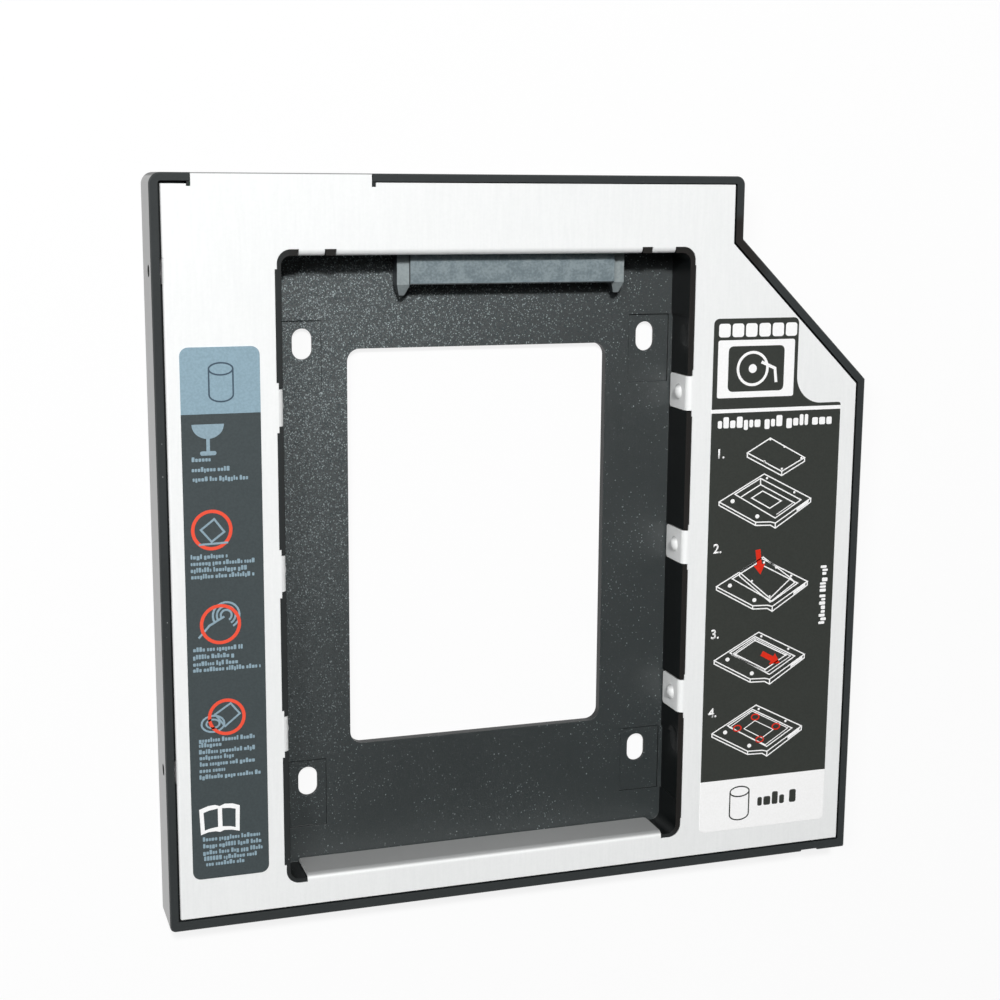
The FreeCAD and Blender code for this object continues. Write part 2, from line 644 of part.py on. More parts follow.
def cover_folds():
    """Every strip folded down from the cover: side tabs, lips, and flanges at the side holes."""
    run = BEND_RADIUS + WELL_RIM
    (left_face, _), (right_face, _) = tab_faces()
    tab_drop = COVER_TOP - FLOOR - TAB_FLOOR_GAP
    folds = []
    for y in TAB_YS:
        folds.append(placed_fold(TAB_WIDTH, run, tab_drop, left_face, y - TAB_WIDTH / 2, 0))
        folds.append(placed_fold(TAB_WIDTH, run, tab_drop, right_face, y + TAB_WIDTH / 2, 180))
    front_drop = COVER_TOP - FLOOR - FRONT_LIP_FLOOR_GAP
    folds.append(placed_fold(
        2 * LIP_HALF_SPAN, run, front_drop, DRIVE_AXIS_X + LIP_HALF_SPAN, WELL_FRONT_Y, 90))
    rear_drop = COVER_TOP - SOCKET_TOP - LIP_SOCKET_GAP
    for left, right in lip_spans():
        folds.append(placed_fold(right - left, run, rear_drop, left, WELL_REAR_Y, -90))
    flange_drop = COVER_TOP - FLOOR - FLANGE_FLOOR_GAP
    for y in SIDE_HOLE_YS:
        folds.append(placed_fold(
            FLANGE_WIDTH, run, flange_drop, -RIM_INNER_X + COVER_GAP, y + FLANGE_WIDTH / 2, 180,
            FLANGE_BEND))
    return folds


def hook_notches():
    """Cutters that clear the cover round the two rim hooks and set its left rear corner back."""
    low_y = RIM_INNER_REAR_Y - HOOK_REACH - HOOK_GAP
    high_y = HALF_DEPTH + OVERCUT
    reach = HOOK_WIDTH + HOOK_GAP
    return [
        box(-HALF_WIDTH, PORT_LEFT_X, RIM_INNER_REAR_Y - CORNER_SETBACK, high_y, 0, BAY_HEIGHT),
        box(PORT_LEFT_X - reach, PORT_LEFT_X + HOOK_GAP, low_y, high_y, 0, BAY_HEIGHT),
        box(PORT_RIGHT_X - HOOK_GAP, PORT_RIGHT_X + reach, low_y, high_y, 0, BAY_HEIGHT),
    ]


def soft_edge(edge_x):
    """Cutter that rounds the top of the cover's left edge."""
    bar = box(
        edge_x - OVERCUT, edge_x + SOFT_EDGE, -HALF_DEPTH, HALF_DEPTH, COVER_TOP - SOFT_EDGE, BAY_HEIGHT)
    round_bar = Part.makeCylinder(
        SOFT_EDGE, 2 * HALF_DEPTH, vec(edge_x + SOFT_EDGE, -HALF_DEPTH, COVER_TOP - SOFT_EDGE), vec(0, 1, 0))
    return bar.cut(round_bar)


def cover_plate():
    """Flat sheet inside the rim, with its tongue over the plug and its notches."""
    side = RIM_SIDE + COVER_GAP
    outline = bay_outline(side, RIM_FRONT + COVER_GAP, RIM_REAR + COVER_REAR_GAP, side)
    plate = slab(outline, COVER_UNDER, COVER_TOP)
    plate = plate.fuse(box(
        PORT_LEFT_X, PORT_RIGHT_X, RIM_INNER_REAR_Y - OVERCUT, HALF_DEPTH, COVER_UNDER, COVER_TOP))
    edge_x = -RIM_INNER_X + COVER_GAP
    half = FLANGE_WIDTH / 2
    bends = [box(edge_x, edge_x + FLANGE_BEND, y - half, y + half, 0, BAY_HEIGHT) for y in SIDE_HOLE_YS]
    cutters = hook_notches() + [soft_edge(edge_x)] + bends
    return cut_all(plate, cutters + [window_block(0, COVER_UNDER - OVERCUT, BAY_HEIGHT)])


def make_cover():
    cover = fuse_all(cover_plate(), cover_folds())
    for face_x, side in tab_faces():
        for y in TAB_YS:
            bump, hollow = dimple(face_x, side, y)
            cover = cover.fuse(bump).cut(hollow)
    threads = [
        Part.makeCylinder(
            SIDE_SCREW / 2, RIM_SIDE + BEND_RADIUS + OVERCUT,
            vec(-HALF_WIDTH, y, SIDE_HOLE_Z), vec(1, 0, 0))
        for y in SIDE_HOLE_YS
    ]
    return cut_all(cover, threads).removeSplitter()


def make_board():
    """Long narrow board, with an ear into the port at its left end."""
    outline = rectangle(BOARD_LEFT_X, BOARD_RIGHT_X, BOARD_FRONT_Y, BOARD_REAR_Y, BOARD_CORNER)
    board = slab(outline, BOARD_UNDER, BOARD_TOP)
    ear = box(
        EAR_LEFT_X, PORT_RIGHT_X - BOARD_GAP, BOARD_REAR_Y - BOARD_CORNER * 2, BOARD_REAR_Y + BOARD_EAR,
        BOARD_UNDER, BOARD_TOP)
    hole = SCREW_DIAMETER + 2 * SCREW_HOLE_GAP
    holes = [upright_cylinder(x, SCREW_Y, 0, BAY_HEIGHT, hole) for x in SCREW_XS]
    return cut_all(board.fuse(ear), holes).removeSplitter()


def make_board_screw(x):
    """Pan head screw through the board into its boss, with a cross recess."""
    shank = upright_cylinder(x, SCREW_Y, BOARD_UNDER - SCREW_BITE, BOARD_TOP, SCREW_DIAMETER)
    head = upright_cylinder(x, SCREW_Y, BOARD_TOP, BOARD_TOP + SCREW_HEAD, SCREW_HEAD_DIAMETER)
    top_edges = [e for e in head.Edges if e.BoundBox.ZMin > BOARD_TOP + SCREW_HEAD - 1e-6]
    head = head.makeFillet(SCREW_HEAD / 3, top_edges)
    arm = SCREW_HEAD_DIAMETER * 0.3
    slit = SCREW_HEAD * 0.2
    deep = BOARD_TOP + SCREW_HEAD / 2
    cross = box(x - arm, x + arm, SCREW_Y - slit, SCREW_Y + slit, deep, BAY_HEIGHT)
    cross = cross.fuse(box(x - slit, x + slit, SCREW_Y - arm, SCREW_Y + arm, deep, BAY_HEIGHT))
    return shank.fuse(head.cut(cross)).removeSplitter()


def cavity_spans():
    """X ranges of the socket's signal and power cavities, side by side."""
    left = SOCKET_X - SOCKET_HALF + SOCKET_END_WALL
    right = SOCKET_X + SOCKET_HALF - SOCKET_END_WALL
    return (left, left + SIGNAL_CAVITY), (right - POWER_CAVITY, right)


def guide_post(side):
    """Post at one end of the socket that steers the drive in, tapered in plan and in height."""
    inner = SOCKET_X + side * (SOCKET_HALF - EDGE_CHAMFER)
    outer = SOCKET_X + side * POSTS_HALF
    middle = SOCKET_X + side * (SOCKET_HALF + POST_WIDTH / 2)
    tip_y = SOCKET_FACE_Y - POST_REACH
    rear_y = SOCKET_BACK_Y - SOCKET_OVERLAP - BOARD_GAP
    plan = [
        (inner, rear_y, 0), (inner, SOCKET_FACE_Y, 0), (middle - side * POST_TIP / 2, tip_y, POST_TIP / 5),
        (middle + side * POST_TIP / 2, tip_y, POST_TIP / 5), (outer, SOCKET_FACE_Y, 0), (outer, rear_y, 0),
    ]
    profile = [
        (rear_y, POST_BOTTOM), (SOCKET_FACE_Y, POST_BOTTOM), (tip_y, POST_TIP_BOTTOM),
        (tip_y, POST_TIP_TOP), (SOCKET_FACE_Y, POST_TOP), (rear_y, POST_TOP),
    ]
    left, right = sorted((inner, outer))
    return slab(plan, POST_BOTTOM, POST_TOP).common(side_prism(profile, left, right))


def socket_contacts(count, span):
    """Strips along the roof of one cavity, each bent down behind the housing to its solder foot."""
    middle = (span[0] + span[1] - KEY_WIDTH) / 2
    roof = CAVITY_Z + CAVITY_HEIGHT / 2
    front = SOCKET_FACE_Y + 2 * BLADE
    heel = SOCKET_BACK_Y + BLADE
    foot = SOCKET_BACK_Y + TAIL_LENGTH
    profile = [
        (front, roof - BLADE), (front, roof), (heel, roof), (heel, BOARD_TOP + BLADE),
        (foot, BOARD_TOP + BLADE), (foot, BOARD_TOP),
        (SOCKET_BACK_Y, BOARD_TOP), (SOCKET_BACK_Y, roof - BLADE),
    ]
    return contact_row(profile, count, middle)


def contact_row(profile, count, middle_x):
    """Row of equal contacts, each the given profile extruded along X."""
    contacts = []
    for i in range(count):
        left = middle_x + CONTACT_PITCH * (i - (count - 1) / 2) - BLADE_WIDTH / 2
        contacts.append(side_prism(profile, left, left + BLADE_WIDTH))
    return contacts


def make_socket_housing(contacts):
    """Moulded 22-way socket: body that steps over the board, keyed cavities, guide posts."""
    left = SOCKET_X - SOCKET_HALF
    right = SOCKET_X + SOCKET_HALF
    step_y = BOARD_FRONT_Y - BOARD_GAP
    ease = EDGE_CHAMFER
    profile = [
        (SOCKET_FACE_Y + ease, SOCKET_BOTTOM), (step_y, SOCKET_BOTTOM), (step_y, BOARD_TOP),
        (SOCKET_BACK_Y, BOARD_TOP), (SOCKET_BACK_Y, SOCKET_TOP), (SOCKET_FACE_Y + ease, SOCKET_TOP),
        (SOCKET_FACE_Y, SOCKET_TOP - ease), (SOCKET_FACE_Y, SOCKET_BOTTOM + ease),
    ]
    body = fuse_all(side_prism(profile, left, right), [guide_post(side) for side in (-1, 1)])
    mouth_y = SOCKET_FACE_Y - OVERCUT
    end_y = SOCKET_FACE_Y + CAVITY_DEPTH
    roof = CAVITY_Z + CAVITY_HEIGHT / 2
    sole = CAVITY_Z - CAVITY_HEIGHT / 2
    for x0, x1 in cavity_spans():
        body = body.cut(box(x0, x1, mouth_y, end_y, sole, roof))
        body = body.cut(box(x1 - KEY_WIDTH, x1, mouth_y, end_y, sole - CAVITY_KEY, roof))
    return cut_all(body, contacts).removeSplitter()


def tongue_spans():
    """X ranges of the plug's signal and power tongues, side by side."""
    left = PLUG_LEFT_X + TONGUE_END_SPACE
    right = PLUG_RIGHT_X - TONGUE_END_SPACE
    return (left, left + SIGNAL_TONGUE), (right - POWER_TONGUE, right)


def plug_contacts(count, span):
    """Strips on the top of one tongue, each bent down in front of the plug to its solder foot."""
    middle = (span[0] + span[1] + TONGUE) / 2
    top = TONGUE_TOP
    heel = PLUG_BACK_Y - BLADE
    foot = PLUG_BACK_Y - TAIL_LENGTH
    tip = PLUG_FACE_Y - 2 * PLUG_SHELL
    profile = [
        (tip, top), (tip, top + BLADE), (heel, top + BLADE), (heel, BOARD_TOP + BLADE),
        (foot, BOARD_TOP + BLADE), (foot, BOARD_TOP), (PLUG_BACK_Y, BOARD_TOP), (PLUG_BACK_Y, top),
    ]
    return contact_row(profile, count, middle)


def make_plug_housing(contacts):
    """Slim plug: shell open to the rear, with two keyed tongues inside."""
    cavity_y = PLUG_FACE_Y - PLUG_CAVITY_DEPTH
    shell = box(PLUG_LEFT_X, PLUG_RIGHT_X, PLUG_BACK_Y, PLUG_FACE_Y, BOARD_TOP, PLUG_TOP)
    shell = shell.cut(box(
        PLUG_LEFT_X + PLUG_SHELL, PLUG_RIGHT_X - PLUG_SHELL, cavity_y, PLUG_FACE_Y + OVERCUT,
        BOARD_TOP + PLUG_SHELL, PLUG_TOP - PLUG_SHELL))
    tongue_end = PLUG_FACE_Y - PLUG_SHELL
    under = TONGUE_TOP - TONGUE
    for left, right in tongue_spans():
        shell = shell.fuse(box(left, right, cavity_y - BLADE, tongue_end, under, TONGUE_TOP))
        shell = shell.fuse(box(
            left, left + TONGUE, cavity_y - BLADE, tongue_end, under - TONGUE_KEY, under + BLADE))
    return cut_all(shell, contacts).removeSplitter()


def make_lock(outer_x, side, y):
    """Bent metal tab that holds one end of a connector down to the board."""
    leg = outer_x + side * LOCK
    foot = outer_x + side * LOCK_LENGTH
    profile = [
        (outer_x, BOARD_TOP), (foot, BOARD_TOP), (foot, BOARD_TOP + LOCK), (leg, BOARD_TOP + LOCK),
        (leg, BOARD_TOP + LOCK_HEIGHT), (outer_x, BOARD_TOP + LOCK_HEIGHT), (outer_x, BOARD_TOP),
    ]
    wire = Part.makePolygon([vec(x, y, z) for x, z in profile])
    return Part.Face(wire).extrude(vec(0, LOCK_WIDTH, 0))


def make_chip(x, height):
    """Chip part lying across the board."""
    return box(
        x - CHIP_WIDTH / 2, x + CHIP_WIDTH / 2, CHIP_Y - CHIP_LENGTH / 2, CHIP_Y + CHIP_LENGTH / 2,
        BOARD_TOP, BOARD_TOP + height)


def make_left_label():
    outline = rectangle(
        -HALF_WIDTH + LEFT_LABEL_SIDE, WELL_LEFT_X - LEFT_LABEL_WELL,
        -HALF_DEPTH + LEFT_LABEL_FRONT, HALF_DEPTH - LEFT_LABEL_REAR, LEFT_LABEL_RADIUS)
    return slab(outline, COVER_TOP, COVER_TOP + LABEL)


def make_right_label():
    """Label with a narrow rear part that flares into the full width by a round fillet."""
    left = WELL_RIGHT_X + RIGHT_LABEL_WELL
    right = HALF_WIDTH - RIGHT_LABEL_SIDE
    front = -HALF_DEPTH + RIGHT_LABEL_FRONT
    rear = HALF_DEPTH - RIGHT_LABEL_REAR
    shoulder = slope_y(HALF_WIDTH, 0) - RIGHT_LABEL_SHOULDER
    neck = slope_x(rear, RIM_SIDE + COVER_GAP)
    small = RIGHT_LABEL_RADIUS
    outline = [
        (left, front, small), (right, front, small), (right, shoulder, small),
        (neck, shoulder, RIGHT_LABEL_FILLET), (neck, rear, small), (left, rear, small),
    ]
    return slab(outline, COVER_TOP, COVER_TOP + LABEL)


def make_socket_parts():
    signal_span, power_span = cavity_spans()
    signal = socket_contacts(SIGNAL_COUNT, signal_span)
    power = socket_contacts(POWER_COUNT, power_span)
    return {
        "drive_socket_housing": make_socket_housing(signal + power),
        "drive_socket_signal_contacts": Part.makeCompound(signal),
        "drive_socket_power_contacts": Part.makeCompound(power),
        "socket_lock_left": make_lock(SOCKET_X - SOCKET_HALF, -1, BOARD_FRONT_Y),
        "socket_lock_right": make_lock(SOCKET_X + SOCKET_HALF, 1, BOARD_FRONT_Y),
    }


def make_plug_parts():
    signal_span, power_span = tongue_spans()
    signal = plug_contacts(SIGNAL_COUNT, signal_span)
    power = plug_contacts(SLIM_POWER_COUNT, power_span)
    lock_y = PLUG_BACK_Y + LOCK_WIDTH / 2
    return {
        "rear_plug_housing": make_plug_housing(signal + power),
        "rear_plug_signal_contacts": Part.makeCompound(signal),
        "rear_plug_power_contacts": Part.makeCompound(power),
        "plug_lock_left": make_lock(PLUG_LEFT_X, -1, lock_y),
        "plug_lock_right": make_lock(PLUG_RIGHT_X, 1, lock_y),
    }


def make_board_parts():
    parts = {"circuit_board": make_board()}
    for i, x in enumerate(SCREW_XS):
        parts["board_screw_%d" % (i + 1)] = make_board_screw(x)
    x = SCREW_XS[0] + CHIP_SPACE
    for i in range(CAPACITOR_COUNT):
        parts["board_capacitor_%d" % (i + 1)] = make_chip(x + CHIP_PITCH * i, CAPACITOR_HEIGHT)
    x = SCREW_XS[1] - CHIP_SPACE
    for i in range(RESISTOR_COUNT):
        parts["board_resistor_%d" % (i + 1)] = make_chip(x - CHIP_PITCH * i, RESISTOR_HEIGHT)
    return parts


def make_parts():
    parts = {
        "tray": make_tray(),
        "top_cover": make_cover(),
        "left_label": make_left_label(),
        "right_label": make_right_label(),
    }
    parts.update(make_board_parts())
    parts.update(make_socket_parts())
    parts.update(make_plug_parts())
    return parts


def main():
    os.makedirs("parts", exist_ok=True)
    for name, shape in make_parts().items():
        shape.exportStep("parts/%s.step" % name)
        print(name, "solids", len(shape.Solids), "volume %.1f" % shape.Volume, "valid", shape.isValid())


main()
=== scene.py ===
# %% [markdown]
# # A laptop drive caddy, dressed for its picture
#
# The object is a slim tray that slides into a laptop where the optical drive used to be and
# carries a second drive. The shapes come from the CAD model, which this lesson loads as a fixed
# frame. What is added here is what CAD doesn't carry: the grain of the moulded plastic, the satin
# of the folded aluminium sheet, the printed labels, a camera and plain studio light.
#
# Every size below is written in millimetres and turned into metres in one place, because the
# frame is in metres.

# %% Load the frame
import math
import random

import bmesh
import bpy
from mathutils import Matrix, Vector


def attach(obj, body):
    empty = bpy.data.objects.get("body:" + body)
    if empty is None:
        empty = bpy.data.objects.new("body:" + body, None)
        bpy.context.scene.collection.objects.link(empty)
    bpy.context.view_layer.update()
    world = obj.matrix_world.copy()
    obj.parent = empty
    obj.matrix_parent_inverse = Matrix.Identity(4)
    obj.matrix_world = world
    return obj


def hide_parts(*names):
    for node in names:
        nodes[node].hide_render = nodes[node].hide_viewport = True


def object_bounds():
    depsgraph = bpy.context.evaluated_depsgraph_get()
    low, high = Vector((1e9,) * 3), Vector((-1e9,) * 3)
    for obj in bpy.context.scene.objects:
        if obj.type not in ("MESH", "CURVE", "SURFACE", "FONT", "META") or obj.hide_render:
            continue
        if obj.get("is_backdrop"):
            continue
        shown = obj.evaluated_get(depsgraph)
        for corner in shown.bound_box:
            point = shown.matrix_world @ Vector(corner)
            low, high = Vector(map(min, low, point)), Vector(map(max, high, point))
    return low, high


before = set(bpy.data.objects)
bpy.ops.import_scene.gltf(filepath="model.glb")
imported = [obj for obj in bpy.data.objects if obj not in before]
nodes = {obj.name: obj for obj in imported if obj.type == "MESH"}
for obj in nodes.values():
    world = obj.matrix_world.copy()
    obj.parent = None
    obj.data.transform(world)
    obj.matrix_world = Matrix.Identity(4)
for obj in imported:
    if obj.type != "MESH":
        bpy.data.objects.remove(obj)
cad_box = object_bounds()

MM = 0.001
print("nodes in the frame:", len(nodes))
print("box in mm:", [[round(v / MM, 2) for v in corner] for corner in cad_box])

# %% [markdown]
# ## Shader maths as plain Python
#
# A procedural finish is a small program made of nodes. Wiring them by hand is long to read, so
# one class wraps a socket and lets Python's own operators add the nodes: `1 - mask` adds a
# subtraction, `wear * 0.3` a multiplication. Any other node comes from `node`, which sets the
# node's own settings first and its sockets after them, because some settings change the sockets.


# %% A socket that can be used in arithmetic
class Wire:
    """A socket of a shader tree, for use in plain Python expressions."""

    def __init__(self, tree, socket=None):
        self.tree, self.socket = tree, socket

    def node(self, kind, settings, sockets, out=0):
        made = self.tree.nodes.new(kind)
        for name, value in settings.items():
            setattr(made, name, value)
        for name, value in sockets.items():
            if isinstance(value, Wire):
                self.tree.links.new(value.socket, made.inputs[name])
            else:
                made.inputs[name].default_value = value
        return Wire(self.tree, made.outputs[out] if made.outputs else None)

    def _sum(self, operation, first, second):
        pair = (first, second)
        if any(isinstance(v, Wire) and v.socket.type == "VECTOR" for v in pair):
            vectors = [v if isinstance(v, (Wire, tuple)) else (v, v, v) for v in pair]
            return self.node("ShaderNodeVectorMath", {"operation": operation},
                             dict(enumerate(vectors)))
        return self.node("ShaderNodeMath", {"operation": operation}, dict(enumerate(pair)))

    def __add__(self, other):
        return self._sum("ADD", self, other)

    def __sub__(self, other):
        return self._sum("SUBTRACT", self, other)

    def __rsub__(self, other):
        return self._sum("SUBTRACT", other, self)

    def __mul__(self, other):
        return self._sum("MULTIPLY", self, other)

    def ease(self, low, high):
        """0 below `low`, 1 above `high`, a smooth step between."""
        return self.node("ShaderNodeMapRange", {"interpolation_type": "SMOOTHSTEP"},
                         {"Value": self, "From Min": low, "From Max": high})

    def blend(self, first, second):
        """A colour: `first` where this is 0, `second` where it is 1."""
        colours = [v if isinstance(v, Wire) else (*v, 1) for v in (first, second)]
        return self.node("ShaderNodeMix", {"data_type": "RGBA"},
                         {"Factor": self, 6: colours[0], 7: colours[1]}, out=2)

    def mix(self, first, second):
        """A shader: `first` where this is 0, `second` where it is 1."""
        return self.node("ShaderNodeMixShader", {}, {0: self, 1: first, 2: second})

    def axis(self, name):
        return self.node("ShaderNodeSeparateXYZ", {}, {0: self}, out=name)


print("sums become nodes through the class", Wire.__name__)

# %% [markdown]
# Four things come back in every finish. `place` gives a point of the surface in millimetres, so
# that a grain of 0.3 mm is written as 0.3. `noise` is the cloudy pattern behind most natural
# unevenness, and `cells` splits the surface into small cells with a chance value each.
# `soft_normal` rounds sharp CAD edges in the shading alone: light catches a thin line along
# them, as on real moulded and pressed parts, and the shape stays as it is.
#
# Two more make masks, which are 1 where something holds, 0 where it doesn't and run smoothly
# between: `facing` goes by the way the surface looks, `beyond` by how far from the middle it is.


# %% Helpers shared by the finishes
def place(shade):
    metres = shade.node("ShaderNodeTexCoord", {}, {}, out="Object")
    return metres * (1 / MM)


def noise(shade, at, size, detail=2.0):
    """Cloudy pattern whose blotches are about `size` mm across."""
    return shade.node("ShaderNodeTexNoise", {},
                      {"Vector": at, "Scale": 0.5 / size, "Detail": detail})


def cells(shade, at, size, out="Distance"):
    """Cells about `size` mm across: the distance from each middle, or a chance colour."""
    return shade.node("ShaderNodeTexVoronoi", {}, {"Vector": at, "Scale": 1.0 / size}, out=out)


def soft_normal(shade, radius):
    return shade.node("ShaderNodeBevel", {"samples": 4}, {"Radius": radius * MM})


def bump(shade, height, depth, normal):
    """Tilts the normal as if `height` from 0 to 1 were `depth` mm."""
    return shade.node("ShaderNodeBump", {}, {"Strength": 1.0, "Distance": depth * MM,
                                             "Height": height, "Normal": normal})


def facing(shade, axis, low, high):
    """1 where the surface looks along `axis`, from the normal's share of it."""
    normal = shade.node("ShaderNodeNewGeometry", {}, {}, out="Normal")
    return normal.axis(axis).ease(low, high)


def beyond(offset, low, high):
    """0 where `offset`, to either side, is less than `low`, and 1 where it is more than `high`."""
    return (offset * offset).ease(low ** 2, high ** 2)


def surface(shade, varying, **constants):
    """A Principled shader: `varying` changes over the surface, the constants don't."""
    sockets = {key.replace("_", " "): value for key, value in constants.items()}
    return shade.node("ShaderNodeBsdfPrincipled", {}, {**sockets, **varying})


def finish(name, paint):
    """A material from `paint`, a function that is given an empty shader tree."""
    made = bpy.data.materials.new(name)
    made.use_nodes = True
    made.node_tree.nodes.clear()
    shade = Wire(made.node_tree)
    shade.node("ShaderNodeOutputMaterial", {}, {"Surface": paint(shade)})
    return made


def dress(node, material):
    slots = nodes[node].data.materials
    slots.clear()
    slots.append(material)


print("helpers ready")

# %% [markdown]
# ## The moulded tray
#
# The tray is black ABS. The floor of the well comes from a spark-eroded part of the mould, which
# leaves a coarse glittering grain, while the walls and the rim are drawn smooth so that the part
# leaves the mould. The two are separate shaders, mixed by a mask that is 1 on what faces up near
# the floor.
#
# The grain is made of facets. The surface is split into cells, and each cell's chance colour is
# used as a slope: the height at a point is its offset from the cell's middle times that slope,
# so every cell is a flat patch tilted its own way. Some of the cells are flakes that mirror the
# lamps as metal would, a few of them strongly, and the ground between them is paler in one cell
# than in the next. A mask on a slanted line runs from 0 at the front right to 1 at the rear left
# and brings the grain in: towards the rear left the ground is painted paler and more cells are
# flakes, a painted highlight.
#
# The smooth walls get a shallow grain and a few pale specks, for the dust that such plastic
# holds. The rim is grey, a painted sheen, and round the well a darker brown, painted shade. The
# ledge under the cover has stayed black. The outer sides are polished by sliding in and out of
# the bay, which the coat stands for.
#
# A pair of numbers in the list below is where a mask starts and where it is full, most of them
# places on the tray in mm.

# %% Black plastic
FLOOR_END = (1.8, 2.2)        # heights between which the floor's grain stops
LEDGE_START = (53.0, 54.0)    # Y where the floor meets the ledge under the plug
RIM_START = (8.95, 9.5)       # heights between which the rim's painted grey sheen starts
OUTER_SIDE = (63.2, 63.6)     # X, to either side, where the outer sides start
WELL_RIM_X = (40.0, 45.0)     # X, to either side, where the rim of the well has ended
WELL_RIM_Y = (55.0, 57.0)     # Y, to either side, where it has
PAINTED_HIGHLIGHT_SPAN = (-15.0, 92.0)   # from no painted highlight to the full one, on a slanted line
FACES_UP = (0.6, 0.9)         # upward share of the normal
FLAKES = (1.05, 1.12)         # the higher, the fewer cells are flakes
SPECK, SPECK_LUCK = (0.05, 0.09), (0.86, 0.90)   # size of a speck of dust, and how few there are
GRAIN, DUST_APART, CLOUD = 0.16, 1.5, 7.0        # sizes of the patterns in mm
FACET_DEEP, WALL_GRAIN_DEEP, EDGE = 0.25, 0.006, 0.12   # mm

BLACK, RIM_SHEEN_GREY, RIM_SHADE_BROWN = (0.0050, 0.0065, 0.0068), (0.040, 0.045, 0.046), (0.026, 0.023, 0.021)
GROUND_DARK, GROUND_PALE = (0.0070, 0.0130, 0.0135), (0.0760, 0.0930, 0.0950)
FLAKE_DULL, FLAKE_BRIGHT = (0.10, 0.12, 0.125), (0.64, 0.72, 0.73)
FLOOR_DUST, WALL_DUST = (0.36, 0.42, 0.42), (0.36, 0.38, 0.38)


def facets(shade, at, size):
    """Height of cells `size` mm across, each a flat patch with a slope of its own."""
    settings = {"Vector": at, "Scale": 1.0 / size}
    middle = shade.node("ShaderNodeTexVoronoi", {}, settings, out="Position")
    slope = shade.node("ShaderNodeTexVoronoi", {}, settings, out="Color") - 0.5
    return shade.node("ShaderNodeVectorMath", {"operation": "DOT_PRODUCT"},
                      {0: at - middle, 1: slope}, out="Value")


def paint_tray(shade):
    at = place(shade)
    x, y, z = at.axis("X"), at.axis("Y"), at.axis("Z")
    up = facing(shade, "Z", *FACES_UP)
    floor = up * (1 - z.ease(*FLOOR_END)) * (1 - y.ease(*LEDGE_START))
    round_edges = soft_normal(shade, EDGE)
    cloud = noise(shade, at, CLOUD, 3.0)
    specks = 1 - cells(shade, at, DUST_APART).ease(*SPECK)
    dust = specks * cells(shade, at, DUST_APART, "Color").axis("X").ease(*SPECK_LUCK)

    # painted highlight: towards the rear left the ground is painted paler and more cells are
    # flakes
    painted_highlight = (y - x * 1.4).ease(*PAINTED_HIGHLIGHT_SPAN)
    chance = cells(shade, at, GRAIN, "Color")
    flake = (chance.axis("Y") + cloud * 0.2 + painted_highlight * 0.45).ease(*FLAKES)
    shine = chance.axis("Z")
    flake_tone = (shine * shine * shine).blend(FLAKE_DULL, FLAKE_BRIGHT)
    paleness = chance.axis("X") * (painted_highlight * 0.85 + 0.07) + cloud * 0.08
    rough_ground = paleness.blend(GROUND_DARK, GROUND_PALE)
    dusty_ground = (dust * 0.5).blend(rough_ground, FLOOR_DUST)
    sparked = surface(shade, {
        "Base Color": flake.blend(dusty_ground, flake_tone),
        "Metallic": flake,
        "Roughness": cloud * 0.05 + 0.45,
        "Normal": bump(shade, facets(shade, at, GRAIN), FACET_DEEP, round_edges),
    }, Specular_IOR_Level=1.0, IOR=1.60)

    grain = noise(shade, at, GRAIN, 3.0)
    # painted sheen: the rim is grey, and round the well painted shade makes it a darker brown
    rim_sheen = z.ease(*RIM_START) * (grain * 0.3 + cloud * 0.3 + 0.60)
    round_well = (1 - beyond(x, *WELL_RIM_X)) * (1 - beyond(y, *WELL_RIM_Y))
    smooth_ground = rim_sheen.blend(BLACK, round_well.blend(RIM_SHEEN_GREY, RIM_SHADE_BROWN))
    drawn = surface(shade, {
        "Base Color": (dust * 0.6).blend(smooth_ground, WALL_DUST),
        "Roughness": up * 0.16 + cloud * 0.06 + 0.34,
        "Coat Weight": beyond(x, *OUTER_SIDE) * (1 - up) * 0.88,
        "Normal": bump(shade, grain, WALL_GRAIN_DEEP, round_edges),
    }, Specular_IOR_Level=0.20, Coat_Roughness=0.30)
    return floor.mix(drawn, sparked)


black_plastic = finish("black_plastic_finish", paint_tray)
dress("tray", black_plastic)
print("tray dressed")

# %% [markdown]
# ## The folded cover
#
# One sheet of aluminium, half a millimetre thick, cut, pressed and folded over the tray. It is
# pearl blasted, which makes it almost as white and even as paper: most light is scattered, and
# only a soft sheen is left of the metal's reflection. That is why the metal share is low here and
# the roughness high. A trace of the rolled grain survives along the tray, so one noise is
# stretched along Y. A thin dark line of painted shade runs along the rear edge, and faces that
# look back, such as the inner side of the front lip, are painted greyer, painted shade.

# %% Satin aluminium
SHADED_REAR_EDGE = (62.80, 62.88)   # Y in mm between which the painted shade along the rear edge starts
LOOKS_BACK = (0.3, 0.8)     # rearward share of the normal, for the painted shade on the inner side of the front lip
ROLLED, PITS, SHADE = 1.0, 0.22, 16.0   # sizes of the patterns in mm
STRETCH = (5.0, 0.35, 1.0)              # draws the rolled grain out along Y
PIT_DEEP, SHEET_EDGE = 0.006, 0.10      # mm
SHEET_DARK, SHEET_LIGHT = (0.885, 0.898, 0.895), (0.950, 0.960, 0.956)
PAINTED_SHADE_GREY = (0.05, 0.053, 0.053)


